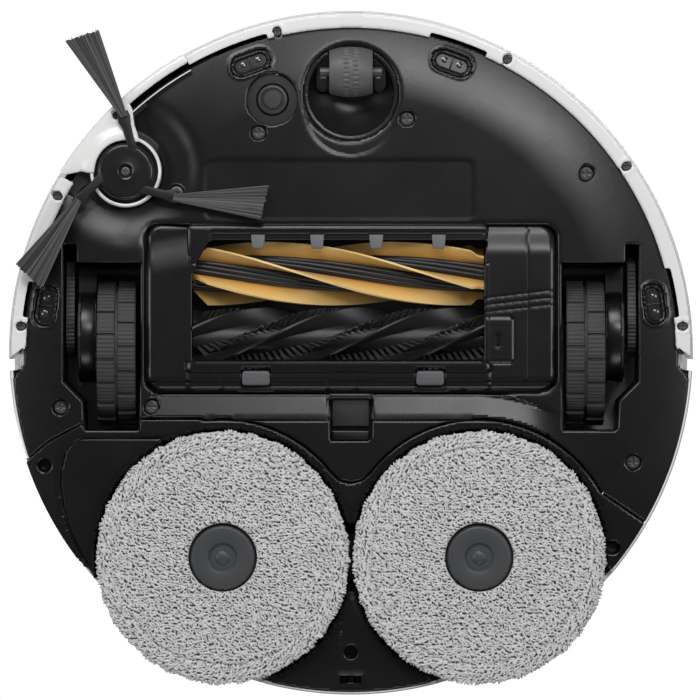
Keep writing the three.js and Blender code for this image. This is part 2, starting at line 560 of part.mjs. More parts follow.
addPiece('upper_casing', makeUpperCasing(), 'whitePlastic');
const lid = { radius: deck.ringInner - gap, bottom: deck.top + gap, chamfer: 1.4 };
addPiece('top_cover', turned([[0, lid.bottom], [lid.radius, lid.bottom],
  [lid.radius, deck.coverTop - lid.chamfer], [lid.radius - lid.chamfer, deck.coverTop],
  [0, deck.coverTop]], 144).subtract(disc(0, turret.y, turret.radius + 1, 0, above, 64)), 'whitePlastic');
for (const { name, x } of buttons) {
  const height = deck.ringTop + 0.6;
  addPiece(name, turned([[0, deck.bottom + 4.6], [buttonAt.radius, deck.bottom + 4.6],
    [buttonAt.radius, height - 0.5], [buttonAt.radius - 0.5, height], [0, height]], 32, x, buttonAt.y),
    'greyPlastic');
}
for (const [side, sign] of [['right', -1], ['left', 1]]) {
  addPiece(`${side}_charge_contact`, box(Math.min(sign * contacts.near, sign * contacts.far),
    Math.max(sign * contacts.near, sign * contacts.far), 172.3, contacts.face, contacts.z0, contacts.z1),
      'metal');
}

function makeTurret() {
  let shell = turned([[0, turret.bottom], [turret.radius, turret.bottom], [turret.radius, turret.top - 3],
    [turret.radius - 3, turret.top], [0, turret.top]], 72, 0, turret.y);
  shell = shell.subtract(disc(0, turret.y, 39, 89, 102.5, 64));
  for (const angle of [90, 210, 330]) {
    shell = shell.subtract(prism(ringSector(36, 60, angle - 52, angle + 52, 0, turret.y), 91, 101, 16));
  }
  return shell;
}

addPiece('turret_housing', makeTurret(), 'blackPlastic');
addPiece('lidar_head', turned([[0, 89.6], [33, 89.6], [36, 92], [36, 99], [33, 101.8], [0, 101.8]], 48,
  0, turret.y), 'smokedWindow');

// Mops
function makeMopPlate() {
  return turned([[0, 2.6], [13.5, 2.6], [16.2, 3.6], [mop.hub, 6], [mop.hub, 7.4], [60, 7.4], [60, 9.4],
    [3.2, 9.4], [3.2, 27], [0, 27]], 64);
}

for (const [side, sign] of [['right', -1], ['left', 1]]) {
  const spindle = new THREE.Group();
  spindle.position.set(sign * mop.x, mop.y, 0);
  robot.add(spindle);
  addPiece(`${side}_mop_plate`, makeMopPlate(), 'greyPlastic', spindle);
  addPiece(`${side}_mop_pad`, turned([[mop.hub + 0.6, 0], [62, 0], [mop.pad, 2.4], [mop.pad, 5.4],
    [63, mop.padTop], [mop.hub + 0.6, mop.padTop], [mop.hub + 0.6, 0]], 72), 'microfibre', spindle);
  addPiece(`${side}_mop_carriage`, turned([[3.6, 9.8], [5, 9.8], [5, 28], [3.6, 28], [3.6, 9.8]], 40),
    'metal', spindle);
  const motor = [[5.6, deckTop + 6.4], [13, deckTop + 6.4], [13, 58], [0, 58], [0, 37], [5.6, 37],
    [5.6, deckTop + 6.4]];
  addPiece(`${side}_mop_motor`, turned(motor, 40), 'metal', spindle);
}
const armLength = Math.hypot(mop.y - mopPivot.y, -mop.x - mopPivot.x);
const armAngle = angleOf(-mop.x - mopPivot.x, mop.y - mopPivot.y);
addPiece('right_mop_arm', prism(capsule((mopPivot.x - mop.x) / 2, (mopPivot.y + mop.y) / 2,
  armLength + 20, 20, armAngle), deckTop + 2, deckTop + 6, 16)
  .subtract(disc(-mop.x, mop.y, 5.6, 0, 60, 24))
  .add(disc(mopPivot.x, mopPivot.y, 4, 13.5, deckTop + 6, 24)), 'greyPlastic');

// Inside
addPiece('battery_pack', box(-70, 70, -102, -70, 16, 54), 'blackPlastic');
addPiece('main_board', box(-60, 60, -144, -62, 62, 64), 'circuitBoard');
addPiece('suction_fan', turned([[0, 24], [22, 24], [22, 46], [14, 60], [0, 60]], 40, 82, 52), 'greyPlastic');
addPiece('water_tank', box(-44, 44, 116, 156, 26, 74), 'clearBin');
addPiece('roller_motor', barAlongX(-98, -52, 33, 36, 11, 32), 'metal');
addPiece('dust_bin', box(-68, 68, -50, 2, 42, 77).subtract(box(-66, 66, -48, -14, 44, 90)), 'clearBin');
addPiece('dust_filter', box(-60, 60, -20, -14.4, 46, 74), 'filterPaper');

export default robot;
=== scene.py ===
# Robot vacuum and mop, looked at from underneath.
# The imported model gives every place; the surfaces here are worked out in millimetres and stored in metres.
import math

import bmesh
import bpy
import numpy as np
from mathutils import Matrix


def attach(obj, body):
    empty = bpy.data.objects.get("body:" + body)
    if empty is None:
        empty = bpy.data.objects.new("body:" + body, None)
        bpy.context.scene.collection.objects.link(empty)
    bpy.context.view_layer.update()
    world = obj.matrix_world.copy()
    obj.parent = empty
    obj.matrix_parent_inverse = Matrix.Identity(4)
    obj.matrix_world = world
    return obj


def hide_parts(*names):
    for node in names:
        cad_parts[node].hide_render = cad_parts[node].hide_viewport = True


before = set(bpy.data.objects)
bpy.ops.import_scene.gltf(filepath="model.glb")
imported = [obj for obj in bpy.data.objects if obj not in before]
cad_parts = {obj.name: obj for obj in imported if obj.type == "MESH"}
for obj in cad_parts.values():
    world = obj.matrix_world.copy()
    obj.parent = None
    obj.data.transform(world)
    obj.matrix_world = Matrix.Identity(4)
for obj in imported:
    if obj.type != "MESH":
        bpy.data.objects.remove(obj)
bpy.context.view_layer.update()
scene = bpy.context.scene
mm = 0.001
turn = math.pi / 180


# node helper and colours

def linearColour(text):
    # sRGB hex to linear light, by the usual piecewise curve
    parts = np.array([int(text[i:i + 2], 16) for i in (1, 3, 5)]) / 255
    linear = np.where(parts <= 0.04045, parts / 12.92, ((parts + 0.055) / 1.055) ** 2.4)
    return (*linear, 1.0)


def addNode(material, kind, links=None, **settings):
    # adds one node; a setting goes to the property of that name, or else to the input socket
    node = material.node_tree.nodes.new(kind)
    for name, value in settings.items():
        if hasattr(node, name):
            setattr(node, name, value)
        else:
            node.inputs[name.replace("_", " ")].default_value = value
    for name, source in (links or {}).items():
        socket = node.inputs[name] if isinstance(name, int) else node.inputs[name.replace("_", " ")]
        material.node_tree.links.new(source, socket)
    return node


def newMaterial(name, colour, roughness, ior=1.5, metallic=0.0):
    material = bpy.data.materials.new(name)
    material.use_nodes = True
    shader = material.node_tree.nodes["Principled BSDF"]
    shader.inputs["Base Color"].default_value = linearColour(colour)
    shader.inputs["Roughness"].default_value = roughness
    shader.inputs["IOR"].default_value = ior
    shader.inputs["Metallic"].default_value = metallic
    return material, shader


def setShader(material, **settings):
    # plain numbers on the shader's own sockets
    for name, value in settings.items():
        material.node_tree.nodes["Principled BSDF"].inputs[name.replace("_", " ")].default_value = value


def mouldedPlastic(name, colour, roughness, grainMm, grainDepth, mottle=0.03, ior=1.53, coat=0.0):
    # injection-moulded polymer: spark-eroded grain from the tool, and a little uneven gloss from handling
    material, shader = newMaterial(name, colour, roughness, ior)
    links = material.node_tree.links
    place = addNode(material, "ShaderNodeTexCoord")
    grain = addNode(material, "ShaderNodeTexNoise", {"Vector": place.outputs["Object"]},
                    Scale=1 / (grainMm * mm), Detail=3.0, Roughness=0.6)
    broad = addNode(material, "ShaderNodeTexNoise", {"Vector": place.outputs["Object"]}, Scale=38.0,
                    Detail=4.0)
    spread = addNode(material, "ShaderNodeMapRange", {"Value": broad.outputs["Fac"]},
                     To_Min=roughness - 0.05, To_Max=roughness + 0.06)
    links.new(spread.outputs["Result"], shader.inputs["Roughness"])
    tint = addNode(material, "ShaderNodeMix", {"Factor": grain.outputs["Fac"]}, data_type="RGBA")
    base = np.array(linearColour(colour))
    tint.inputs[6].default_value = (*(base[:3] * (1 - mottle)), 1)
    tint.inputs[7].default_value = (*np.minimum(base[:3] * (1 + mottle), 1), 1)
    links.new(tint.outputs[2], shader.inputs["Base Color"])
    bump = addNode(material, "ShaderNodeBump", {"Height": grain.outputs["Fac"]}, Strength=1.0,
                   Distance=grainDepth * mm)
    links.new(bump.outputs["Normal"], shader.inputs["Normal"])
    shader.inputs["Coat Weight"].default_value = coat
    return material


# surfaces

def meshPiece(name, points, faces, smooth=True):
    # points in millimetres, faces as a list of index arrays that share one corner count each
    mesh = bpy.data.meshes.new(name)
    groups = [np.asarray(group, np.int32) for group in faces if len(group)]
    corners = np.concatenate([group.ravel() for group in groups])
    sizes = np.concatenate([np.full(len(group), group.shape[1], np.int32) for group in groups])
    starts = np.concatenate([[0], np.cumsum(sizes)[:-1]]).astype(np.int32)
    mesh.vertices.add(len(points))
    mesh.vertices.foreach_set("co", (np.asarray(points) * mm).astype(np.float32).ravel())
    mesh.loops.add(len(corners))
    mesh.loops.foreach_set("vertex_index", corners)
    mesh.polygons.add(len(sizes))
    mesh.polygons.foreach_set("loop_start", starts)
    mesh.polygons.foreach_set("loop_total", sizes)
    mesh.update(calc_edges=True)
    mesh.validate()
    mesh.polygons.foreach_set("use_smooth", np.full(len(mesh.polygons), smooth))
    piece = bpy.data.objects.new(name, mesh)
    scene.collection.objects.link(piece)
    return piece


def gridFaces(rows, columns, closedRows=False, closedColumns=False, first=0):
    # quads of a grid of points, row after row; a closed direction joins its end to its start
    r = np.arange(rows if closedRows else rows - 1)
    c = np.arange(columns if closedColumns else columns - 1)
    r, c = np.meshgrid(r, c, indexing="ij")
    r2, c2 = (r + 1) % rows, (c + 1) % columns
    quads = np.stack([r * columns + c, r * columns + c2, r2 * columns + c2, r2 * columns + c], -1)
    return quads.reshape(-1, 4) + first


def turnedPiece(name, profile, centre, sides=96, axis="z", smooth=True):
    # the profile's corners (radius, height) carried round an axis; ends on the axis are closed with fans
    radius, height = np.array(profile, float).T
    angle = np.linspace(0, 2 * math.pi, sides, endpoint=False)
    across = np.outer(radius, np.cos(angle))
    along = np.outer(radius, np.sin(angle))
    up = np.outer(height, np.ones(sides))
    points = {"z": (across, along, up), "x": (up, across, along)}[axis]
    points = np.stack(points, -1).reshape(-1, 3) + np.asarray(centre)
    piece = meshPiece(name, points, [gridFaces(len(radius), sides, closedColumns=True)], smooth)
    return mendNormals(piece)


def mendNormals(piece):
    # merges doubles (the poles) and turns every face outwards
    work = bmesh.new()
    work.from_mesh(piece.data)
    bmesh.ops.remove_doubles(work, verts=work.verts, dist=1e-6)
    bmesh.ops.dissolve_degenerate(work, edges=work.edges, dist=1e-7)
    bmesh.ops.recalc_face_normals(work, faces=work.faces)
    work.to_mesh(piece.data)
    work.free()
    return piece


def sharpen(piece, degrees=32):
    piece.data.shade_smooth()
    piece.data.set_sharp_from_angle(angle=degrees * turn)
    return piece


def addModifier(piece, kind, **settings):
    modifier = piece.modifiers.new(kind.title(), kind)
    for name, value in settings.items():
        setattr(modifier, name, value)
    return piece


def finishPiece(piece, body, material, replaced=()):
    piece.data.materials.clear()
    piece.data.materials.append(material)
    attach(piece, body)
    if replaced:
        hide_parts(*replaced)
    return piece


# distances to outlines, in millimetres, below zero inside

def circleDistance(x, y, cx, cy, radius):
    return np.hypot(x - cx, y - cy) - radius


def boxDistance(x, y, x0, x1, y0, y1, corner=0.0):
    dx = np.abs(x - (x0 + x1) / 2) - (x1 - x0) / 2 + corner
    dy = np.abs(y - (y0 + y1) / 2) - (y1 - y0) / 2 + corner
    return np.hypot(np.maximum(dx, 0), np.maximum(dy, 0)) + np.minimum(np.maximum(dx, dy), 0) - corner


def capsuleDistance(x, y, cx, cy, length, width, angle):
    c, s = math.cos(angle * turn), math.sin(angle * turn)
    along = (x - cx) * c + (y - cy) * s
    across = -(x - cx) * s + (y - cy) * c
    along = along - np.clip(along, -(length - width) / 2, (length - width) / 2)
    return np.hypot(along, across) - width / 2


def polygonDistance(x, y, corners):
    # nearest edge gives the size, the count of edges crossed to the right gives the sign
    corners = np.asarray(corners, float)
    nearest = np.full(np.shape(x), 1e9)
    inside = np.zeros(np.shape(x), bool)
    for (ax, ay), (bx, by) in zip(corners, np.roll(corners, -1, axis=0)):
        ex, ey = bx - ax, by - ay
        t = np.clip(((x - ax) * ex + (y - ay) * ey) / (ex * ex + ey * ey), 0, 1)
        nearest = np.minimum(nearest, np.hypot(x - ax - t * ex, y - ay - t * ey))
        crosses = ((ay > y) != (by > y)) & (x < ex * (y - ay) / (ey if ey else 1e-9) + ax)
        inside ^= crosses
    return np.where(inside, -nearest, nearest)


def sectorDistance(x, y, inner, outer, start, end, cx=0.0, cy=0.0):
    # a piece of a flat ring between two angles in degrees
    middle, half = (start + end) / 2 * turn, (end - start) / 2 * turn
    radius = np.hypot(x - cx, y - cy)
    away = np.abs((np.arctan2(y - cy, x - cx) - middle + math.pi) % (2 * math.pi) - math.pi)
    return np.maximum(np.abs(radius - (inner + outer) / 2) - (outer - inner) / 2, (away - half) * radius)


def ease(value, start, end):
    # smooth step from 0 at start to 1 at end
    t = np.clip((value - start) / (end - start), 0, 1)
    return t * t * (3 - 2 * t)


def reliefPiece(name, x0, x1, y0, y1, step, edge, contours, height, thickness):
    # A sheet seen from below: points of a square grid, those near the edge or a contour pulled onto it,
    # each at height(x, y). Cells cut by the edge keep the corner that lies inside. Solidify gives the wall.
    x, y = np.meshgrid(np.arange(x0, x1 + step, step), np.arange(y0, y1 + step, step), indexing="ij")
    small = 0.02
    for outline in [*contours, edge]:
        for _ in range(2):
            d = outline(x, y)
            gx = (outline(x + small, y) - outline(x - small, y)) / (2 * small)
            gy = (outline(x, y + small) - outline(x, y - small)) / (2 * small)
            near = np.abs(d) < 0.5 * step
            x = np.where(near, x - d * gx, x)
            y = np.where(near, y - d * gy, y)
    inside = edge(x, y) < 0.03 * step
    rows, columns = x.shape
    quads = gridFaces(rows, columns)[:, ::-1]
    kept = inside.ravel()[quads]
    whole = quads[kept.all(1)]
    cut, cutKept = quads[kept.sum(1) == 3], kept[kept.sum(1) == 3]
    corners = np.argmin(cutKept, axis=1)
    order = (corners[:, None] + np.array([1, 2, 3])) % 4
    triangles = np.take_along_axis(cut, order, axis=1)
    used = np.unique(np.concatenate([whole.ravel(), triangles.ravel()]))
    index = np.full(rows * columns, -1)
    index[used] = np.arange(len(used))
    points = np.stack([x, y, height(x, y)], -1).reshape(-1, 3)[used]
    piece = meshPiece(name, points, [index[whole], index[triangles]])
    # corners pulled onto the same spot are merged, or the wall would show spikes there
    work = bmesh.new()
    work.from_mesh(piece.data)
    bmesh.ops.remove_doubles(work, verts=work.verts, dist=0.22 * step * mm)
    bmesh.ops.dissolve_degenerate(work, edges=work.edges, dist=0.03 * mm)
    work.to_mesh(piece.data)
    work.free()
    addModifier(piece, "SOLIDIFY", thickness=thickness * mm, offset=-1.0)
    return sharpen(piece, 40)


# camera, lights and floor

studio = {"lens": 400.0, "sensor": 36.0, "span": 0.3582, "plane": 0.014, "aim": (-0.0005, -0.0015),
          "floorDrop": 0.0006, "floorGlow": 0.16, "world": "#ffffff",
          "worldStrength": 0.07, "whiteStrength": 1.05}
# soft boxes: place, height aimed at, width, depth, watts. Four beneath light what is seen, two light the top;
# the small one near the line of sight is picked up only by plastic that leans towards the front
studio["lamps"] = {"underFront": ((-0.3, -1.0, -0.85), 0, 0.9, 0.5, 8.5),
                   "underRight": ((1.1, -0.15, -0.8), 0, 0.5, 0.6, 4.2),
                   "underLeft": ((-1.15, -0.05, -0.7), 0, 0.5, 0.6, 3.6),
                   "underRear": ((0.1, 1.2, -0.7), 0, 0.9, 0.4, 2.6),
                   "sheen": ((0.19, -0.46, -0.98), 0, 0.5, 0.17, 2.5),
                   "topKey": ((0.8, -0.9, 1.4), 0.05, 0.9, 0.9, 19),
                   "topFill": ((-1.0, 0.7, 1.1), 0.05, 1.0, 1.0, 11)}


def makeCamera():
    # looks straight up at the underside, with the robot's front at the top of the frame
    camera = bpy.data.objects.new("mainCamera", bpy.data.cameras.new("mainCamera"))
    camera.data.lens = studio["lens"]
    camera.data.sensor_width = studio["sensor"]
    distance = studio["span"] * studio["lens"] / studio["sensor"]
    camera.data.clip_end = 100
    camera.location = (*studio["aim"], studio["plane"] - distance)
    camera.rotation_euler = (math.pi, 0, 0)
    scene.collection.objects.link(camera)
    scene.camera = camera


def areaLight(name, spot, target, sizeX, sizeY, power):
    light = bpy.data.lights.new(name, "AREA")
    light.shape = "RECTANGLE"
    light.size = sizeX
    light.size_y = sizeY
    light.energy = power
    lamp = bpy.data.objects.new(name, light)
    lamp.location = spot
    toward = np.array(target) - np.array(spot)
    flat = math.hypot(toward[0], toward[1])
    lamp.rotation_euler = (math.atan2(flat, -toward[2]), 0, math.atan2(toward[1], toward[0]) - math.pi / 2)
    scene.collection.objects.link(lamp)


def makeStage():
    # the room lights softly, and the camera itself sees it as plain white
    world = bpy.data.worlds.new("paleRoom")
    world.use_nodes = True
    seen = addNode(world, "ShaderNodeLightPath")
    strength = addNode(world, "ShaderNodeMapRange", {"Value": seen.outputs["Is Camera Ray"]},
                       To_Min=studio["worldStrength"], To_Max=studio["whiteStrength"])
    background = world.node_tree.nodes["Background"]
    background.inputs["Color"].default_value = linearColour(studio["world"])
    world.node_tree.links.new(strength.outputs["Result"], background.inputs["Strength"])
    scene.world = world
    scene.view_settings.view_transform = "Standard"
    # the floor is painted on its upper side only, so the underside can be seen through it
    floor = meshPiece("floor", np.array([[-4000, -4000, 0], [4000, -4000, 0], [4000, 4000, 0],
                                         [-4000, 4000, 0]]) - [0, 0, studio["floorDrop"] / mm],
                      [[[0, 1, 2, 3]]], smooth=False)
    paint, shader = newMaterial("mattWallPaint", "#e9e9e7", 0.9)
    shader.inputs["Emission Color"].default_value = linearColour("#ffffff")
    shader.inputs["Emission Strength"].default_value = studio["floorGlow"]
    tree = paint.node_tree
    side = addNode(paint, "ShaderNodeNewGeometry")
    clear = addNode(paint, "ShaderNodeBsdfTransparent")
    mix = addNode(paint, "ShaderNodeMixShader", {"Fac": side.outputs["Backfacing"],
                                                 1: shader.outputs["BSDF"], 2: clear.outputs["BSDF"]})
    tree.links.new(mix.outputs["Shader"], tree.nodes["Material Output"].inputs["Surface"])
    floor.data.materials.append(paint)
    for ray in ("diffuse", "glossy", "transmission", "shadow"):
        setattr(floor, "visible_" + ray, False)
    for name, (spot, aimZ, sizeX, sizeY, power) in studio["lamps"].items():
        areaLight(name, spot, (0, 0, aimZ), sizeX, sizeY, power)


makeCamera()
makeStage()
print("stage ready")


# materials, each named for what the real piece is made of

# ABS from a satin tool: nearly black, soft highlights
blackAbs = mouldedPlastic("blackAbs", "#151516", 0.27, 0.5, 0.012, ior=1.54)
# the same polymer from a smoother tool, on the swivel, sensor bezels and hub faces
blackAbsSmooth = mouldedPlastic("blackAbsSmooth", "#1b1b1d", 0.27, 0.4, 0.006, ior=1.54)
# charcoal ABS of latches and wheels
greyAbs = mouldedPlastic("charcoalAbs", "#5c5d60", 0.42, 0.45, 0.012)
# glass-filled nylon of gearboxes and legs: drier and rougher
blackNylon = mouldedPlastic("blackGlassFilledNylon", "#1d1d1e", 0.5, 0.35, 0.02)
# white ABS with a semi-gloss clear look
whiteAbs = mouldedPlastic("whiteAbs", "#f1f1f0", 0.26, 0.8, 0.004, mottle=0.004, coat=0.15)
# natural rubber compound of the tyres: no shine, powdery bloom
tyreRubber = mouldedPlastic("blackTyreRubber", "#3a3a3b", 0.62, 0.3, 0.03, mottle=0.12, ior=1.52)
# TPU of the black blades: slight sheen along the folds
blackTpu = mouldedPlastic("blackTpu", "#1f1f20", 0.38, 0.5, 0.01, ior=1.5)
# nickel-plated steel of pins and contacts
plated = mouldedPlastic("nickelPlatedSteel", "#c9cacb", 0.25, 0.3, 0.002)
setShader(plated, Metallic=1.0, IOR=1.5)
# zinc-black screws
blackScrew = mouldedPlastic("blackZincScrew", "#5e5e60", 0.4, 0.25, 0.006)
setShader(blackScrew, Metallic=0.35)
# smoked polycarbonate over the sensors: polished, nearly opaque
smoked = mouldedPlastic("smokedPolycarbonate", "#08080a", 0.06, 2.0, 0.0, ior=1.585, coat=0.5)
print("materials ready")


# base plate and rear deck: sheets with dishes, ribs, seats and openings

hull = {"ceiling": 21.2, "frontEdge": 166.9, "rearEdge": 172.9, "sideEdge": 174.7, "flat": 10.0,
        "curveStart": 132.0, "curveRise": 6.5, "bay": (-106.4, 106.2, -66.3, 20.5, 8.5),
        "caster": (0.0, -132.9, 25.0), "brush": (-115.1, -92.7), "mop": (65.5, 104.4),
        "seam": 70.4, "pocket": 67.5}
wellCorners = np.array([[107.7, -46.3], [140, -46.3], [140, -55.6], [147.3, -55.6], [147.3, 14.4],
                        [137.3, 24.5], [136.4, 39.7], [107.7, 39.7]])
baseScrews = [(-47.2, -112.6), (28.7, -119.7), (120.3, -91.7), (-89.3, -81.8), (-148.4, 27.7),
              (-101.9, 27.6), (144.3, 55.7)]
deepHoles = [(-156.4, 57.4), (133.8, 99.4), (0.0, 152.7)]
sensors = [(-51.3, -148.0, -20), (51.5, -148.0, 20), (-155.6, -24.0, 98), (154.8, -24.9, 82)]
carpetEye = (-40.1, -129.5)


def deckLine(grow):
    # the deck's edge: straight to the right-hand mop, round both mops with a saddle between, straight out
    mx, my = hull["mop"]
    radius = hull["seam"] + grow
    right = np.linspace(-96, -38, 24) * turn
    left = np.linspace(-142, -28.3, 30) * turn
    arcs = [np.stack([-mx + radius * np.cos(right), my + radius * np.sin(right)], 1),
            np.array([[-6.0, 65.2 - grow], [0, 66.4 - grow], [6.0, 65.2 - grow]]),
            np.stack([mx + radius * np.cos(left), my + radius * np.sin(left)], 1)]
    start = np.array([[-176, 66 - grow], [-165, 54.4 - grow], [-160.5, 50.2 - grow], [-153.5, 44.6 - grow],
                      [-136.9, 36.0 - grow], [-107.7, 33.8 - grow], [-79, 33.7 - grow]])
    finish = np.array([[151.6, 87.5 - grow], [180, 107 - grow], [180, 200], [-180, 200]])
    return np.concatenate([start, *arcs, finish])


def hullEdge(x, y):
    # the front edge hides above the bumper's lip; behind the notch the plate is wider
    front = y < 4.6 + (np.abs(x) - 166) * 1.2
    return np.hypot(x, y) - np.where(front, hull["frontEdge"], hull["rearEdge"])


def beltHeight(x, y):
    # band between roller bay and deck: leans to the front, ends in a step, follows the left-hand mop
    mx, my = hull["mop"]
    along = np.where(x > mx, np.hypot(x - mx, y - my) - 70.9, 33.5 - y)
    band = (along > -0.02) * (1 - ease(along, 11.8, 13.4))
    ends = ease(np.abs(x), 10.6, 11.4) * np.where(x > 0, 1 - ease(x, 84, 112), 1 - ease(-x, 101, 104))
    return band * ends * (0.225 * np.clip(along, 0, 12.5) - 1.2)


def hullHeight(x, y):
    # flat in the middle, curving up towards the rim
    rise = np.clip((np.hypot(x, y) - hull["curveStart"]) / (hull["rearEdge"] - hull["curveStart"]), 0, 1.05)
    return hull["flat"] + hull["curveRise"] * rise ** 1.6


def armBed(x, y):
    # the space that the swing-out arm of the side brush lies in
    bx, by = hull["brush"]
    wedge = polygonDistance(x, y, [(-160, -95.5), (-134, -92.7), (bx, by), (-113, -112), (-114.2, -126.2),
                                   (-125, -150), (-170, -130)])
    ring = circleDistance(x, y, bx, by, 18.7)
    slot = sectorDistance(x, y, 164.2, 190, 210.5, 241.5)
    strip = sectorDistance(x, y, 166.6, 190, 225, 257)
    return np.minimum(np.minimum(np.minimum(wedge, ring), np.maximum(slot, -(y + 100))), strip)


def seatDepth(distance, depth):
    # a sunk seat with a steep side
    return depth * ease(-distance, -0.05, 0.55)


def baseHeight(x, y):
    z = hullHeight(x, y)
    bx, by = hull["brush"]
    rho = np.hypot(x - bx, y - by)
    # dish round the side brush: a rounded shoulder, then a hollow that deepens to the ring
    z = z + 4.8 * ease(-rho, -41, -19) + 0.9 * np.exp(-((rho - 33) / 5) ** 2) * ease(x - y, -40, 40)
    z = z + beltHeight(x, y)
    # softened rims of the bay and of the caster's opening
    z = z + 0.4 * (1 - ease(boxDistance(x, y, *hull["bay"]), 0.0, 1.1))
    z = z + 0.8 * (1 - ease(circleDistance(x, y, *hull["caster"]), 0.0, 1.2))
    # faint dish behind the caster and the shallow blank panel ahead of the bay
    z = z + 0.5 * ease(-circleDistance(x, y, 0, -124.3, 23.8), -0.4, 0.6)
    z = z + 0.35 * ease(-boxDistance(x, y, -74.7, 62.9, -98.8, -67.6, 4), -0.3, 0.3)
    for cx, cy, angle in sensors:
        z = z - 0.45 * (1 - ease(capsuleDistance(x, y, cx, cy, 20.5, 10.5, angle), 0.6, 2.0))
    return z


def baseEdge(x, y):
    cut = [-boxDistance(x, y, *hull["bay"]), -circleDistance(x, y, *hull["caster"]), -armBed(x, y),
           -polygonDistance(x, y, deckLine(0.65)), -polygonDistance(-x, y, wellCorners),
           -polygonDistance(x, y, wellCorners), -boxDistance(x, y, -10.8, 10.5, 23.1, 45, 1.2)]
    cut += [-capsuleDistance(x, y, cx, cy, 20.9, 10.9, angle) for cx, cy, angle in sensors]
    cut += [-circleDistance(x, y, cx, cy, 4.1) for cx, cy in baseScrews]
    cut += [-circleDistance(x, y, cx, cy, 3.6) for cx, cy in deepHoles] + [-circleDistance(x, y, *carpetEye,
                                                                                           13.2)]
    return np.maximum.reduce([hullEdge(x, y), *cut])


def makeBase():
    mx, my = hull["mop"]
    rings = [lambda x, y: boxDistance(x, y, -74.7, 62.9, -98.8, -67.6, 4),
             lambda x, y: np.where(x > mx, np.hypot(x - mx, y - my) - 70.9,
                                   33.5 - y) + 9 * (x < -104) + 9 * (x > 100)]
    base = reliefPiece("basePlate", -174, 174, -168, 112, 1.0, baseEdge, rings, baseHeight, 2.2)
    return finishPiece(base, "chassis", blackAbs, ["base_plate"])


def deckEdge(x, y):
    mx, my = hull["mop"]
    # full width beside the right-hand mop, set in behind the casing's wall elsewhere
    angle = np.arctan2(y, x) / turn
    rim = np.where((angle > 132) & (angle < 162), hull["sideEdge"], hull["rearEdge"])
    cut = [-polygonDistance(side * x, y, wellCorners) for side in (-1, 1)]
    cut += [-circleDistance(x, y, cx, cy, 3.6) for cx, cy in deepHoles]
    cut += [-circleDistance(x, y, mx, my, 4.6), -circleDistance(x, y, -mx - 4, my + 3, 27)]
    return np.maximum.reduce([np.hypot(x, y) - rim, polygonDistance(x, y, deckLine(-0.5)), *cut])


def swingRoom(x, y):
    return polygonDistance(x, y, [(-96, 41.6), (-133.9, 41.6), (-137.5, 41.9), (-140.2, 42.6),
                                  (-144.8, 45.8), (-147.6, 50.3), (-149.7, 58.9), (-150.1, 68.0),
                                  (-149.0, 78.3), (-145.3, 90.9), (-139.6, 102.9),
                                  (-131.6, 115.4), (-70, 100)])


def deckHeight(x, y):
    z = hullHeight(x, y)
    mx, my = hull["mop"]
    for side in (-1, 1):
        z = z + np.maximum(hull["ceiling"] - z, 0) * ease(-circleDistance(x, y, side * mx, my,
                                                                          hull["pocket"]), -0.1, 1.1)
    # swing room of the right-hand mop: a step beside its pocket
    z = z + 1.6 * ease(-swingRoom(x, y), -0.05, 0.9) * (z < 17)
    z = z + seatDepth(boxDistance(x, y, -7.2, 6.8, 163.3, 170.4, 0.8), 4.0)
    z = z - 4.0 * (np.abs(x + 0.2) < 0.6) * (boxDistance(x, y, -7.2, 6.8, 163.3, 170.4, 0.8) < -0.5)
    z = z + 0.3 * ease(0.5 - np.abs(circleDistance(x, y, -5.0, 143.0, 6.0)), -0.3, 0.4)
    z = z + seatDepth(circleDistance(x, y, -5.0, 143.0, 1.2), 1.6)
    return z


def makeDeck():
    mx, my = hull["mop"]
    rings = [lambda x, y, s=s: circleDistance(x, y, s * mx, my, hull["pocket"]) for s in (-1, 1)]
    rings += [swingRoom, lambda x, y: boxDistance(x, y, -7.2, 6.8, 163.3, 170.4, 0.8)]
    deck = reliefPiece("rearDeck", -170, 170, 34, 174, 1.0, deckEdge, rings, deckHeight, 2.4)
    return finishPiece(deck, "chassis", blackAbs, ["rear_deck"])


makeBase()
makeDeck()
print("base and deck ready")


# small plates: a rounded edge profile carried round an outline, closed by flat caps

def platePiece(name, outline, bottom, top, bevel=0.5, rounding=3, angle=35):
    outline = np.asarray(outline, float)
    ahead = np.roll(outline, -1, axis=0) - outline
    ahead /= np.linalg.norm(ahead, axis=1)[:, None]
    behind = np.roll(ahead, 1, axis=0)
    area = np.sum(outline[:, 0] * np.roll(outline[:, 1], -1) - np.roll(outline[:, 0], -1) * outline[:, 1])
    normal = np.stack([ahead[:, 1] + behind[:, 1], -(ahead[:, 0] + behind[:, 0])],
                      1) * (1 if area > 0 else -1)
    normal /= np.maximum(np.linalg.norm(normal, axis=1), 1e-6)[:, None]
    bend = np.linspace(0, math.pi / 2, rounding + 1)
    rows = [(0.0, top)] + [(bevel * (1 - math.cos(b)), bottom + bevel * (1 - math.sin(b))) for b in bend]
    points = np.concatenate([np.column_stack([outline - normal * inset, np.full(len(outline), z)])
                             for inset, z in rows])
    count = len(outline)
    caps = [np.arange(count)[None], (np.arange(count) + count * (len(rows) - 1))[None, ::-1]]
    piece = meshPiece(name, points, [gridFaces(len(rows), count, closedColumns=True), *caps])
    return sharpen(mendNormals(piece), angle)


def roundedBox(x0, x1, y0, y1, corner, steps=6):
    bend = np.linspace(0, math.pi / 2, steps)
    middles = [(x1 - corner, y1 - corner, 0), (x0 + corner, y1 - corner, 1), (x0 + corner, y0 + corner, 2),
               (x1 - corner, y0 + corner, 3)]
    return np.concatenate([np.stack([cx + corner * np.cos(bend + k * math.pi / 2),
                                     cy + corner * np.sin(bend + k * math.pi / 2)], 1)
                           for cx, cy, k in middles])


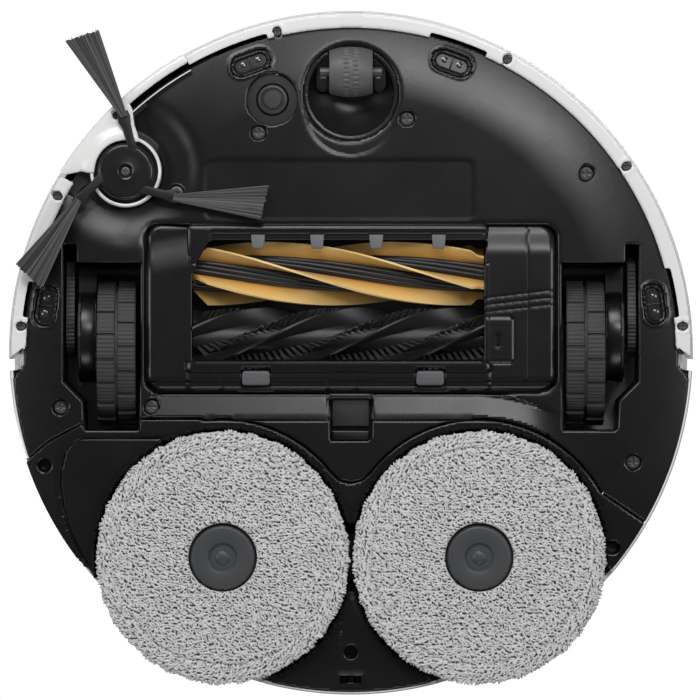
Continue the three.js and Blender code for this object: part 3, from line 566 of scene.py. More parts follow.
def capsuleLine(cx, cy, length, width, angle, steps=14):
    bend = np.linspace(-math.pi / 2, math.pi / 2, steps)
    half, radius = (length - width) / 2, width / 2
    right = np.stack([half + radius * np.cos(bend), radius * np.sin(bend)], 1)
    line = np.concatenate([right, -right])
    c, s = math.cos(angle * turn), math.sin(angle * turn)
    return line @ np.array([[c, s], [-s, c]]) + [cx, cy]


# brush cover

coverSpec = {"x": (-103.4, 103.2), "y": (-64.9, 17.9), "corner": 6.8, "bottom": 8.4,
             "windowX": (-81.8, 68.7), "windowY": (-57.8, 5.1),
             "hooks": (-47.5, -17.3, 12.9, 44.9), "latches": (-48.5, 40.5)}


def windowShape(x, y):
    (x0, x1), (y0, y1) = coverSpec["windowX"], coverSpec["windowY"]
    corners = [(x0, y1 - 3), (x0 + 0.9, y1 - 0.9), (x0 + 3, y1), (x1 - 2, y1), (x1, y1 - 2), (x1, y0),
               (-72.1, y0), (-78.2, -47.2), (-81.2, -41.2), (x0, -38.4)]
    return polygonDistance(x, y, corners)


def coverEdge(x, y):
    pockets = [-boxDistance(x, y, cx - 7.6, cx + 7.6, 6.8, 17.2, 0.6) for cx in coverSpec["latches"]]
    return np.maximum.reduce([boxDistance(x, y, *coverSpec["x"], *coverSpec["y"], coverSpec["corner"]),
                              -windowShape(x, y), *pockets])


def coverHeight(x, y):
    z = np.full(np.shape(x), coverSpec["bottom"])
    outer = boxDistance(x, y, *coverSpec["x"], *coverSpec["y"], coverSpec["corner"])
    # rounded outer edge with a thin raised rim just inside it along the front
    z = z + 1.6 * (1 - ease(-outer, 0.0, 1.8)) ** 1.5
    blockLeft, blockRight = 1 - ease(x, -82.5, -81.5), ease(x, 68.2, 69.2)
    # front of the left block leans back in a slanting sweep, front of the right block in a straight one
    z = z + 3.4 * blockLeft * (1 - ease(y + 0.18 * (x + 92), -60, -40)) ** 1.2
    z = z + 2.8 * blockRight * (1 - ease(y, -64, -49.5)) ** 1.2
    # front strip is a sunk ledge; rear strip hangs lower and steps down towards its edge
    front = (1 - ease(y, -62.6, -62.1)) * (x > -75) * (x < 68.5)
    z = z + 1.9 * (1 - front) * (y < -57.5) * (x > -72) * (x < 68.5)
    rear = ease(y, 4.6, 5.4) * ease(x, -85, -81) * (1 - ease(x, 68.7, 72))
    z = z - 2.4 * rear * (1 - ease(y, 8.4, 9.6)) - 0.9 * rear * ease(y, 9, 10)
    z = z + 1.6 * ease(y, 13.0, 14.0)
    # seams of the right block: its end cap, three slanting grooves, the roller lock
    z = z + 0.7 * (1 - ease(np.abs(x - 90.1), 0.1, 0.7)) * (y < 15)
    for groove in coverGrooves:
        z = z + 1.0 * blockRight * ease(0.65 - np.abs(groove(x, y)), 0.02, 0.3)
    lock = boxDistance(x, y, 60, 82.6, -17.8, 4.5, 1.2) * (x > 68)
    z = z - 1.0 * ease(-lock, 0.0, 0.7) * (x > 68.4) + 0.8 * (1 - ease(np.abs(lock - 0.7), 0.1,
                                                                       0.7)) * (x > 69)
    z = z + 1.2 * ease(-capsuleDistance(x, y, 75.1, -6.3, 8, 3.2, 90), -0.2, 0.4)
    # window lip
    z = z - 0.35 * np.exp(-((windowShape(x, y) - 0.9) / 0.8) ** 2) * (y > -45)
    # gaps between the segments of the rubber seal along the rear
    for cx in (-66.0, -12.0, 2.5, 57.0):
        z = z + 1.2 * (np.abs(x - cx) < 0.8) * ease(y, 12.6, 13.2)
    return z


# three slanting grooves of the right-hand block
coverGrooves = [lambda x, y, at=at: np.where(x > 68, y - at + 0.115 * (x - 68.7), 9)
                for at in (-27.9, -24.3, -20.7)]


def makeCover():
    rings = [lambda x, y, g=g, w=w: g(x, y) - w for g in coverGrooves for w in (-0.65, 0.65)]
    cover = reliefPiece("brushCover", -104, 104, -65.6, 18.6, 0.52, coverEdge, rings, coverHeight, 2.0)
    finishPiece(cover, "brush_cover", blackAbs, ["brush_cover"])
    for number, cx in enumerate(coverSpec["hooks"], 1):
        outline = [(cx - 3.9, -63.0), (cx + 3.9, -63.0), (cx + 3.1, -54.6), (cx + 2.5, -53.3),
                   (cx - 2.5, -53.3), (cx - 3.1, -54.6)]
        hook = platePiece(f"coverHook{number}", outline, 7.6, 9.6, 0.7)
        finishPiece(hook, "brush_cover", hookAbs)
        ledge = platePiece(f"coverHookSeat{number}", roundedBox(cx - 4.6, cx + 4.6, -63.0, -60.4, 0.6), 7.2,
                           9.4, 0.5)
        finishPiece(ledge, "brush_cover", blackAbs)
    for side, cx in zip(("right", "left"), coverSpec["latches"]):
        latch = platePiece(f"coverLatch_{side}", roundedBox(cx - 7.2, cx + 7.2, 9.0, 16.6, 1.6), 5.2, 8.2,
                           1.3, 5)
        finishPiece(latch, f"cover_latch_{side}", greyAbs, [f"cover_latch_{side}"])
        base = platePiece(f"latchSeat_{side}", roundedBox(cx - 9.4, cx + 9.4, 16.8, 20.0, 0.5), 9.0, 11.5,
                          0.4)
        finishPiece(base, "brush_cover", blackAbs)


# pale charcoal ABS of the cover's hooks
hookAbs = mouldedPlastic("paleCharcoalAbs", "#6e7174", 0.45, 0.45, 0.01)
makeCover()
print("brush cover ready")


# rollers: helical blades, rods and bristle rows round a core

# the front roller's last entry is the radius out to which the gold blades carry their darkest painted shade
rollerFront = {"y": -40.6, "z": 20.2, "x": (-81.0, 68.0), "radius": 16.4, "blades": 5, "pitch": 318.0,
               "start": -66.5, "paintedShadeRoot": 6.0}
rollerRear = {"y": -7.0, "z": 20.2, "x": (-81.0, 68.0), "radius": 16.4, "blades": 4,
              "pitch": -195.0, "start": -12.0}


def helixBody(name, spec, section, steps, reach=None, at=0.0):
    # section: closed loop of (radius, sideways) points; turned evenly along X, angle 0 straight down
    x = np.linspace(*spec["x"], steps)[:, None]
    theta = (spec["start"] + at + (x - spec["x"][0]) / spec["pitch"] * 360) * turn
    radius, side = np.asarray(section, float).T
    radius = np.broadcast_to(radius, (steps, len(radius)))
    if reach is not None:
        radius = np.minimum(radius, reach(x))
    y = radius * np.sin(theta) + side * np.cos(theta)
    z = -radius * np.cos(theta) + side * np.sin(theta)
    points = np.stack([np.broadcast_to(x, y.shape), y + spec["y"], z + spec["z"]], -1).reshape(-1, 3)
    count = radius.shape[1]
    caps = [np.arange(count)[None], (np.arange(count) + count * (steps - 1))[None, ::-1]]
    return sharpen(mendNormals(meshPiece(name, points, [gridFaces(steps, count, closedColumns=True),
                                                        *caps])), 40)


def bladeSection(root, tip, thick, curve, steps=10):
    # a blade that leans a little: thick at the root, thin and rounded at the tip
    t = np.linspace(0, 1, steps)
    middle = np.stack([root + (tip - root) * t, curve * t * t], 1)
    half = thick * (1 - 0.35 * t)
    return np.concatenate([middle + np.stack([0 * t, half], 1), (middle - np.stack([0 * t, half], 1))[::-1]])


def frontReach(x):
    left = 8.6 + (x + 81.0) * 1.0
    right = np.where(x > 60.5, 13.4 + 3.0 * ease(-x, -65.5, -60.5), 99)
    return np.minimum(np.minimum(left, right), rollerFront["radius"])


def makeFrontRoller():
    share = 360 / rollerFront["blades"]
    for blade in range(rollerFront["blades"]):
        fin = helixBody(f"goldBlade{blade + 1}", rollerFront, bladeSection(6.5, 16.2, 0.85, 1.2), 140,
                        frontReach, blade * share)
        finishPiece(fin, "roller_front", goldTpu, ["roller_front"] if blade == 0 else ())
        for rod, spread in enumerate((19, 36, 53)):
            bend = np.linspace(0, 2 * math.pi, 10, endpoint=False)
            loop = np.stack([8.0 + 1.5 * np.cos(bend), 1.5 * np.sin(bend)], 1)
            ridge = helixBody(f"coreRod{blade * 3 + rod + 1}", rollerFront, loop, 100,
                              None, blade * share + spread)
            finishPiece(ridge, "roller_front", blackTpu)
    core = turnedPiece("frontCore", [(0, -81.0), (7.6, -81.0), (7.6, 68.0), (0, 68.0)], (0, rollerFront["y"],
                       rollerFront["z"]), 48, "x")
    finishPiece(sharpen(core), "roller_front", blackTpu)


def makeRearRoller():
    share = 360 / rollerRear["blades"]
    for blade in range(rollerRear["blades"]):
        fin = helixBody(f"blackBlade{blade + 1}", rollerRear,
                        bladeSection(6.0, 16.1, 0.9, -2.4), 150, None, blade * share)
        finishPiece(fin, "roller_rear", blackTpu, ["roller_rear"] if blade == 0 else ())
    core = turnedPiece("rearCore", [(0, -81.0), (8.4, -81.0), (8.4, 68.0), (0, 68.0)], (0, rollerRear["y"],
                       rollerRear["z"]), 48, "x")
    finishPiece(sharpen(core), "roller_rear", blackTpu)
    for end, x in (("right", -81.4), ("left", 68.4)):
        for name, spec, body in (("front", rollerFront, "roller_front"),
                                 ("rear", rollerRear, "roller_rear")):
            outward = -1 if x < 0 else 1
            shaft = turnedPiece(f"{name}Shaft_{end}", [(0, x), (6.2, x), (6.2, x + outward * 5),
                                                       (4.6, x + outward * 5.4), (4.6, x + outward * 21),
                                                       (0, x + outward * 21)],
                                (0, spec["y"], spec["z"]), 32, "x")
            finishPiece(sharpen(shaft), body, blackNylon)
    # bristle rows: flat tufts that lean along the helix, midway between the blades
    generator = np.random.default_rng(7)
    count = 46
    for row in range(rollerRear["blades"]):
        x = np.linspace(rollerRear["x"][0] + 2.5, rollerRear["x"][1] - 2.5, count)
        twist = (x - rollerRear["x"][0]) / rollerRear["pitch"] * 360
        theta = (rollerRear["start"] + (row + 0.5) * share + twist) * turn
        tufts = []
        for strand in np.linspace(-1.0, 1.0, 5):
            lean = generator.normal(0, 0.35, count)
            tufts.append(strandGrid(x + strand * 0.55, x + strand * 0.8 + 4.4 + lean, theta,
                                    theta + generator.normal(0, 0.03, count), 8.0, 15.9, 0.34))
        points = np.concatenate(tufts)
        faces = strandFaces(len(points) // 12)
        piece = meshPiece(f"bristleRow{row + 1}", points, faces)
        finishPiece(sharpen(mendNormals(piece), 50), "roller_rear", nylonBristle)


def strandGrid(x0, x1, theta0, theta1, inner, outer, half):
    # square tapering strands from the core outwards: three rings of four points each
    levels = []
    for t in (0.0, 0.55, 1.0):
        x = x0 + (x1 - x0) * t
        theta = theta0 + (theta1 - theta0) * t
        radius = inner + (outer - inner) * t
        width = half * (1 - 0.45 * t)
        for a, b in ((-1, -1), (1, -1), (1, 1), (-1, 1)):
            y = radius * np.sin(theta) + b * width * np.cos(theta)
            z = -radius * np.cos(theta) + b * width * np.sin(theta)
            levels.append(np.stack([x + a * width, y + rollerRear["y"], z + rollerRear["z"]], -1))
    return np.stack(levels, 1).reshape(-1, 3)


def strandFaces(count):
    # sides and both ends of strands that have three rings of four points
    ring = np.array([[k, (k + 1) % 4, (k + 1) % 4 + 4, k + 4] for k in range(4)])
    one = np.concatenate([ring, ring + 4, [[3, 2, 1, 0]], [[8, 9, 10, 11]]])
    return [(one[None] + 12 * np.arange(count)[:, None, None]).reshape(-1, 4)]


def makeGoldTpu():
    # gold TPU: warm, slightly translucent rubber; the colour is painted by distance from the axis, with
    # painted shade (deep amber) at the root between the blades and a painted glow (pale gold) at the thin
    # tips
    material = mouldedPlastic("goldTpu", "#c98d3e", 0.33, 0.5, 0.008, mottle=0.05, ior=1.5)
    place = addNode(material, "ShaderNodeTexCoord")
    outward = addNode(material, "ShaderNodeVectorMath", {0: place.outputs["Object"]}, operation="SUBTRACT")
    outward.inputs[1].default_value = (0, rollerFront["y"] * mm, rollerFront["z"] * mm)
    flat = addNode(material, "ShaderNodeVectorMath", {0: outward.outputs["Vector"]}, operation="MULTIPLY")
    flat.inputs[1].default_value = (0, 1, 1)
    reach = addNode(material, "ShaderNodeVectorMath", {0: flat.outputs["Vector"]}, operation="LENGTH")
    level = addNode(material, "ShaderNodeMapRange", {"Value": reach.outputs["Value"]},
                    From_Min=rollerFront["paintedShadeRoot"] * mm, From_Max=rollerFront["radius"] * mm)
    # painted shade at the blade roots, rising to a painted glow at the tips
    ramp = addNode(material, "ShaderNodeValToRGB", {"Fac": level.outputs["Result"]})
    ramp.color_ramp.elements[0].color = linearColour("#a5611f")
    ramp.color_ramp.elements[1].color = linearColour("#f4cf86")
    ramp.color_ramp.elements.new(0.55).color = linearColour("#e3b05c")
    shader = material.node_tree.nodes["Principled BSDF"]
    material.node_tree.links.new(ramp.outputs["Color"], shader.inputs["Base Color"])
    setShader(material, Subsurface_Weight=0.12, Subsurface_Scale=0.002, Sheen_Weight=0.15)
    return material


goldTpu = makeGoldTpu()
# nylon filament: semi-gloss dark grey
nylonBristle = mouldedPlastic("nylonFilament", "#3a3a3b", 0.42, 0.3, 0.01, mottle=0.2)
makeFrontRoller()
makeRearRoller()
print("rollers ready")


# bumper, casing and the white edge under the machine

rim = {"outer": 175.0, "lipInner": 166.8, "parting": 173.35, "lipBottom": 11.6,
       "arm": (211.4, 240.7), "armClear": 15.6}
rimScrews = [(-37.8, -164.5), (-119.7, -121.5), (-150.1, -80.4), (-168.9, -13.7), (80.0, -150.3),
             (140.9, -95.5), (169.6, -13.7)]


def sweptRing(name, profile, angles, closed=False, shape=None):
    # a closed loop of (radius, height) carried through a row of angles in degrees, with flat ends
    radius, height = np.array(profile, float).T
    theta = np.asarray(angles, float)[:, None] * turn + 0 * radius
    radius, height = radius + 0 * theta, height + 0 * theta
    if shape:
        radius, height, theta = shape(radius, height, theta)
    points = np.stack([radius * np.cos(theta), radius * np.sin(theta), height], -1).reshape(-1, 3)
    count = len(profile)
    faces = [gridFaces(len(angles), count, closedRows=closed, closedColumns=True)]
    if not closed:
        faces += [np.arange(count)[None], (np.arange(count) + count * (len(angles) - 1))[None, ::-1]]
    return sharpen(mendNormals(meshPiece(name, points, faces)), 35)


def bumperEnds(x, y):
    # the bumper stops at a slanting line on either side
    return polygonDistance(np.abs(x), y, [(-1, -4), (166, -4), (173.5, 2),
                                          (200, 23.2), (200, 300), (-1, 300)])


def lipEdge(x, y):
    r = np.hypot(x, y)
    spans = [(284.0, 294.4), (345.0, 353.8), (186.2, 192.6), (240.4, 255.2)]
    slots = [-sectorDistance(x, y, 150, 168.9, a, b) for a, b in spans]
    holes = [-circleDistance(x, y, cx, cy, 2.75) for cx, cy in rimScrews]
    return np.maximum.reduce([rim["lipInner"] - r, r - rim["parting"], -bumperEnds(x, y),
                              -sectorDistance(x, y, 150, 190, *rim["arm"]), *slots, *holes])


def makeBumper():
    angles = np.linspace(-180.66, 0.66, 361)
    corner = [(175 - 1.7 + 1.7 * math.sin(b), 13.9 - 1.7 * math.cos(b))
              for b in np.linspace(0, math.pi / 2, 6)]
    crown = [(175 - 2.6 + 2.6 * math.cos(b), 73.4 + 2.6 * math.sin(b))
             for b in np.linspace(0, math.pi / 2, 7)]
    wall = [(171.8, 15.0), (173.9, 15.0), (174.0, 12.4), *corner[2:], *crown[:-1],
            (172.2, 76.0), (171.8, 75.4)]

    def shape(radius, height, theta):
        # slanting ends, and room over the arm of the side brush
        degrees = (theta / turn + 360) % 360
        over = (degrees > rim["arm"][0]) & (degrees < rim["arm"][1])
        spread = (radius - 173.5) * 0.25 / 90
        theta = -math.pi / 2 + (theta + math.pi / 2) * (1 + spread)
        return radius, np.where(over, np.maximum(height, rim["armClear"]), height), theta

    wallPiece = sweptRing("bumperWall", wall, angles, shape=shape)
    finishPiece(wallPiece, "bumper", whiteAbs, ["bumper"])
    rings = [lambda x, y, c=c: circleDistance(x, y, *c, 2.75) for c in rimScrews]
    lip = reliefPiece("bumperLip", -175, 175, -175, 3, 0.72, lipEdge, rings, lipHeight, 1.4)
    finishPiece(lip, "bumper", whiteAbs)
    for number, (cx, cy) in enumerate(rimScrews, 1):
        onArm = number == 2
        screw = screwPiece(f"rimScrew{number}", cx, cy, 2.3, 9.3 if onArm else 12.0)
        finishPiece(screw, "side_brush_arm" if onArm else "bumper", blackScrew)


def lipHeight(x, y):
    r = np.hypot(x, y)
    z = rim["lipBottom"] + 0.5 * (1 - ease(r - rim["lipInner"], 0, 1.0)) + 0.5 * ease(r, 173.0,
                                                                                      rim["parting"])
    for cx, cy in rimScrews:
        z = z - 0.25 * np.exp(-((np.hypot(x - cx, y - cy) - 3.6) / 0.7) ** 2)
    return z


def screwPiece(name, cx, cy, radius, face):
    # pan head with a cross recess, seen from below: rings of a polar grid, pushed in where the cross is
    rho, phi = np.meshgrid([0, 0.12, 0.24, 0.36, 0.48, 0.6, 0.72, 0.86, 0.95, 1.0, 1.0],
                           np.linspace(0, 2 * math.pi, 48, endpoint=False), indexing="ij")
    x, y = rho * radius * np.cos(phi), rho * radius * np.sin(phi)
    arms = np.maximum(np.minimum(np.abs(x), np.abs(y)) - 0.15 * radius, np.hypot(x, y) - 0.66 * radius)
    z = face + 0.25 * ease(rho, 0.72, 1.0) + 0.55 * (1 - ease(arms, -0.05 * radius, 0.05 * radius))
    z[-1] = face + 1.6
    points = np.stack([x + cx, y + cy, z], -1).reshape(-1, 3)
    cap = (np.arange(48) + 48 * 10)[None]
    return sharpen(mendNormals(meshPiece(name, points, [gridFaces(11, 48, closedColumns=True), cap])), 45)


# mop sizes in millimetres; the pile's cells and loops, and how finely the pads are divided
mop = {"centres": (("right", -65.5), ("left", 65.5)), "x": 65.5, "y": 104.4, "inner": 17.5, "outer": 63.4,
       "top": 7.0, "cell": 1.32, "loopLength": 2.5, "loopWidth": 1.12, "sectors": 900,
       "rings": 128, "fringe": 820}


def makeCasing():
    # upper casing: thin wall with a rounded shoulder, set in behind the bumper and full width behind it
    bend = np.linspace(0, math.pi / 2, 8)
    shoulder = [(171.5 + 3.5 * math.cos(b), 82.4 + 3.5 * math.sin(b)) for b in bend]
    profile = [(173.15, 14.6), (174.2, 14.4), (174.8, 15.4), (175, 18), (175, 77), (175, 79), *shoulder,
               (151.6, 85.9), (150.4, 85.2), (150.2, 83.9), (150.2, 81.7), (152, 81.5), (171.6, 81.5),
               (172.6, 78.5), (172.8, 24)]

    def shape(radius, height, theta):
        # set in behind the bumper; lower edge raised beside the deck and over the mops
        x, y = np.cos(theta) * 175, np.sin(theta) * 175
        ahead = y < 8.5
        radius = np.where(ahead & (height < 78), np.minimum(radius, 164.8 + (radius - 175) * 0.5), radius)
        beside = (theta > 132 * turn) & (theta < 162 * turn)
        for side in (-1, 1):
            # arches over the lifted mops
            beside = beside | (np.hypot(x - side * mop["x"], y - mop["y"]) < 68.3)
        height = np.where(beside, np.maximum(height, 20.4), height)
        return radius, np.where(ahead, np.maximum(height, 20 + 0.3 * (height - 14)), height), theta

    body = sweptRing("casingWall", profile, np.arange(0, 360, 0.5), closed=True, shape=shape)
    finishPiece(body, "chassis", whiteAbs, ["upper_casing"])


def makeArm():
    bx, by = hull["brush"]
    outer = np.linspace(*rim["arm"], 60)
    inner = np.linspace(240.7, 228.2, 24)
    outline = [(174.5 * math.cos(a * turn), 174.5 * math.sin(a * turn)) for a in outer]
    outline += [(170.7 * math.cos(a * turn), 170.7 * math.sin(a * turn)) for a in inner]
    outline += [(-112.2, -124.5), (-111.2, -116), (-108.0, -106.5), (bx, by), (-131, -92.4), (-134, -92.6),
                (-137.5, -93.4), (-147.5, -91.4)]

    def edge(x, y):
        holes = [-circleDistance(x, y, bx, by, 16.4), -circleDistance(x, y, *rimScrews[1], 2.75)]
        return np.maximum.reduce([polygonDistance(x, y, outline), *holes])

    def height(x, y):
        rho = np.hypot(x - bx, y - by)
        z = 9.0 + 0.7 * ease(np.hypot(x, y), 172.6, 174.4) - 2.2 * (1 - ease(rho, 17.6, 27)) ** 2
        # the plate is folded along a line from the brush to the rim, brighter on the rear side
        return z + 0.9 * ease((y + 92) + 0.12 * (x + 115), -9, 1) + 0.3 * ease(-edge(x, y), 0.9, 0.0)

    arm = reliefPiece("brushArm", -156, -80, -156, -88, 0.55, edge,
                      [lambda x, y: circleDistance(x, y, bx, by, 16.4)], height, 1.6)
    finishPiece(arm, "side_brush_arm", whiteAbs, ["side_brush_arm"])
    ring = turnedPiece("brushRing", [(16.5, 9.8), (16.5, 7.0), (16.75, 6.5), (17.2, 6.3), (17.9, 6.7),
                                     (18.3, 7.6), (18.4, 9.8), (16.5, 9.8)], (bx, by, 0), 128)
    finishPiece(sharpen(ring), "side_brush_arm", whiteAbs)
    line = sweptRing("armGuide", [(165.9, 9.4), (166.45, 9.4), (166.45, 13), (165.9, 13)],
                     np.linspace(227.3, 240.5, 40))
    finishPiece(line, "chassis", whiteAbs)
    bed = reliefPiece("armBedFloor", -170, -70, -168, -60, 1.1,
                      lambda x, y: np.maximum.reduce([armBed(x, y) - 3.0, np.hypot(x, y) - 167.6]), [],
                      lambda x, y: 14.6 + 0 * x, 1.2)
    finishPiece(bed, "chassis", blackNylon)


makeBumper()
makeCasing()
makeArm()
print("bumper, casing and brush arm ready")


# side brush

sideBrush = {"centre": (-115.1, -92.7), "tips": (12.5, 132.5, 252.5), "neck": (28.2, 7.8), "tip": 72.6,
             "neckWidth": 3.2, "tipWidth": 17.6, "strands": 108}


def makeSideBrush():
    bx, by = sideBrush["centre"]
    shoulder = [(12.2 + 2.4 * math.sin(b), 6.1 - 2.4 * math.cos(b)) for b in np.linspace(0, math.pi / 2, 8)]
    hub = turnedPiece("brushHub", [(0, 5.6), (2.9, 5.6), (3.1, 4.5), (3.5, 3.9), (4.2, 3.6), (4.8, 3.75),
                                   (10, 3.65), *shoulder, (14.6, 9.9), (0, 9.9)], (bx, by, 0), 128)
    finishPiece(sharpen(hub), "side_brush", blackAbsSmooth, ["side_brush_hub"])
    finishPiece(screwPiece("hubScrew", bx, by, 2.2, 4.9), "side_brush", blackScrew)
    generator = np.random.default_rng(11)
    nx, ny = sideBrush["neck"]
    for number, tip in enumerate(sideBrush["tips"], 1):
        c, s = math.cos(tip * turn), math.sin(tip * turn)
        rotate = np.array([[c, s], [-s, c]])
        arm = np.array([(9.6, 4.4), (15.5, 4.9), (22, 5.0), (24.6, 3.9), (27.5, 4.2), (29.6, 5.4),
                        (29.6, 10.3), (26.5, 10.8), (22.6, 9.9), (15.2, 9.3),
                        (8.6, 9.3)]) @ rotate + [bx, by]
        strip = platePiece(f"brushStrip{number}", arm, 3.7, 6.4, 0.8, 4)
        finishPiece(strip, "side_brush", blackTpu)
        # strands fan out from the neck in three layers; each is a thin bar of three sides with a cut end
        count = sideBrush["strands"]
        layer = np.arange(count) % 3
        spread = np.linspace(-0.5, 0.5, count) + generator.normal(0, 0.008, count)
        reach = sideBrush["tip"] + generator.normal(0, 0.35, count)
        t = np.array([0, 0.3, 0.6, 1.0])[:, None]
        along = nx - 1.5 + (reach - nx + 1.5) * t
        across = ny + spread * sideBrush["neckWidth"] + generator.normal(0, 0.12, (1, count)) * t
        across = across + (spread * (sideBrush["tipWidth"] - sideBrush["neckWidth"]) - ny) * t
        level = 3.0 - layer * 0.75 + 0.9 * (1 - t) + generator.normal(0, 0.1, (1, count))
        half = 0.19 + 0.09 * t
        ring = [np.stack([along, across + half * np.cos(a), level + half * 1.2 * np.sin(a)], -1)
                for a in (math.pi / 2, math.pi * 7 / 6, math.pi * 11 / 6)]
        points = np.stack(ring, 2).transpose(1, 0, 2, 3).reshape(-1, 3)
        points[:, :2] = points[:, :2] @ rotate + [bx, by]
        one = gridFaces(4, 3, closedColumns=True)
        quads = (one[None] + 12 * np.arange(count)[:, None, None]).reshape(-1, 4)
        ends = np.array([[2, 1, 0], [9, 10, 11]])
        caps = (ends[None] + 12 * np.arange(count)[:, None, None]).reshape(-1, 3)
        tuft = mendNormals(meshPiece(f"brushTuft{number}", points, [quads, caps], smooth=False))
        shade = tuft.data.attributes.new("strand", "FLOAT", "POINT")
        shade.data.foreach_set("value", np.repeat(generator.random(count),
                                                  12).astype(np.float32)[:len(tuft.data.vertices)])
        finishPiece(tuft, "side_brush", brushNylon, [f"side_brush_tuft_{number}"])


def makeBrushNylon():
    # nylon 6.12 filament, 0.2 mm thick in life: each strand takes its own grey
    material, shader = newMaterial("nylonBristle", "#4a4a4b", 0.4, 1.53)
    strand = addNode(material, "ShaderNodeAttribute", attribute_name="strand")
    tint = addNode(material, "ShaderNodeMix", {"Factor": strand.outputs["Fac"]}, data_type="RGBA")
    tint.inputs[6].default_value = linearColour("#2c2c2d")
    tint.inputs[7].default_value = linearColour("#68686a")
    material.node_tree.links.new(tint.outputs[2], shader.inputs["Base Color"])
    return material


brushNylon = makeBrushNylon()
makeSideBrush()
print("side brush ready")


# mop pads: looped microfibre over foam, on a hub plate

def loopPile(x, y, seed):
    # height from 0 to 1 of short round loops, one to each cell of a jittered grid, turned at random
    cell, half, radius = mop["cell"], (mop["loopLength"] - mop["loopWidth"]) / 2, mop["loopWidth"] / 2
    generator = np.random.default_rng(seed)
    size = 128
    jitter = generator.uniform(0.1, 0.9, (2, size, size))
    angle = generator.normal(0.5, 0.5, (size, size))
    level = generator.uniform(0.6, 1.0, (size, size))
    ci, cj = np.floor(x / cell).astype(int), np.floor(y / cell).astype(int)
    pile = np.zeros(x.shape)
    for di in range(-2, 3):
        for dj in range(-2, 3):
            i, j = (ci + di) % size, (cj + dj) % size
            dx = x - (ci + di + jitter[0, i, j]) * cell
            dy = y - (cj + dj + jitter[1, i, j]) * cell
            c, s = np.cos(angle[i, j]), np.sin(angle[i, j])
            along, across = dx * c + dy * s, -dx * s + dy * c
            bow = 0.25 * np.cos(along / half * 1.3)
            along = along - np.clip(along, -half, half)
            distance = np.hypot(along, across - bow)
            dome = np.sqrt(np.maximum(1 - (distance / radius) ** 2, 0))
            pile = np.maximum(pile, level[i, j] * dome)
    return pile


def makePad(side, cx, seed):
    cy = mop["y"]
    inner = [(mop["inner"], 5.6), (mop["inner"], 4.6), (mop["inner"] + 0.15, 3.6)]
    face = [(r, 2.1 - 0.35 * math.exp(-((r - 19.6) / 2.2) ** 2) + 0.9 * max(0.0, (r - 60.3) / 3.1) ** 2)
            for r in np.linspace(mop["inner"] + 0.5, mop["outer"] - 0.3, mop["rings"])]
    edge = [(mop["outer"] + 0.2, 3.6), (mop["outer"] + 0.5, 4.6),
            (mop["outer"] + 0.2, 5.8), (62.2, mop["top"])]
    profile = inner + face + edge + [(50, mop["top"]), (mop["inner"], mop["top"])]
    radius, height = np.array(profile).T
    phi = np.linspace(0, 2 * math.pi, mop["sectors"], endpoint=False)
    radius, height = radius[:, None] + 0 * phi, height[:, None] + 0 * phi
    # seam of the border, 9 mm in from the edge, wandering a little
    seam = 55.2 + 0.5 * np.sin(3 * phi + seed) + 0.35 * np.sin(7 * phi + 2 * seed)
    x, y = radius * np.cos(phi), radius * np.sin(phi)
    pile = loopPile(x + 80, y + 80, seed)
    border = ease(radius - seam, 0.2, 1.4)
    # in the border the loops run outwards
    rimPile = loopPile(phi * 57 + 10, radius + 10, seed + 5)
    pile = pile * (1 - border) + rimPile * border
    under = (np.arange(len(profile)) >= 1) & (np.arange(len(profile)) < len(inner) + len(face) + 3)
    groove = np.exp(-((radius - seam) / 0.7) ** 2)
    height = height - under[:, None] * (1.75 * pile - 0.35) + 0.9 * under[:, None] * groove
    radius = radius + 0.7 * (pile - 0.4) * (radius > 62)
    height = np.clip(height, 0.15, mop["top"])
    points = np.stack([radius * np.cos(phi) + cx, radius * np.sin(phi) + cy, height], -1).reshape(-1, 3)
    pad = meshPiece(f"mopPad_{side}", points, [gridFaces(len(profile), len(phi),
                                                         closedRows=True, closedColumns=True)])
    mendNormals(pad)
    # the loop heights also go to the colour: painted shade in the hollows between the loops
    shade = pad.data.attributes.new("pile", "FLOAT", "POINT")
    if len(pad.data.vertices) == pile.size:
        shade.data.foreach_set("value", pile.astype(np.float32).ravel())
    pad.data.shade_smooth()
    finishPiece(pad, f"{side}_mop", microfibre, [f"{side}_mop_pad"])
    makeFringe(side, cx, cy, seed)


def makeFringe(side, cx, cy, seed):
    # loops that stand out round the rim: bent tubes of four sides, closed to a point
    generator = np.random.default_rng(seed + 20)
    count = mop["fringe"]
    phi = np.linspace(0, 2 * math.pi, count, endpoint=False) + generator.normal(0, 0.004, count)
    lean = generator.normal(0, 0.5, count)
    reach = 1.5 + 0.5 * np.sin(phi * 23 + 2 * np.sin(phi * 9)) + generator.uniform(-0.3, 0.7, count)
    level = generator.uniform(1.4, 4.6, count)
    t = np.array([0, 0.3, 0.7, 1.0])[:, None]
    along = mop["outer"] - 0.6 + reach * t
    spread = lean * t * t * 1.6
    half = 0.55 * np.array([0.9, 1.0, 0.95, 0.6])[:, None]
    rings = []
    for a in np.arange(5) * 2 * math.pi / 5:
        across = spread + half * np.cos(a)
        rings.append(np.stack([along * np.cos(phi) - across * np.sin(phi),
                               along * np.sin(phi) + across * np.cos(phi),
                               level + 0 * t + half * np.sin(a)], -1))
    points = np.stack(rings, 2).transpose(1, 0, 2, 3).reshape(-1, 3) + [cx, cy, 0]
    one = gridFaces(4, 5, closedColumns=True)
    quads = (one[None] + 20 * np.arange(count)[:, None, None]).reshape(-1, 4)
    ends = np.array([[4, 3, 2, 1, 0], [15, 16, 17, 18, 19]])
    caps = (ends[None] + 20 * np.arange(count)[:, None, None]).reshape(-1, 5)
    fringe = mendNormals(meshPiece(f"mopFringe_{side}", points, [quads, caps]))
    shade = fringe.data.attributes.new("pile", "FLOAT", "POINT")
    shade.data.foreach_set("value", np.repeat(generator.uniform(0.5, 1, count), 20).astype(np.float32))
    fringe.data.shade_smooth()
    finishPiece(fringe, f"{side}_mop", microfibre)


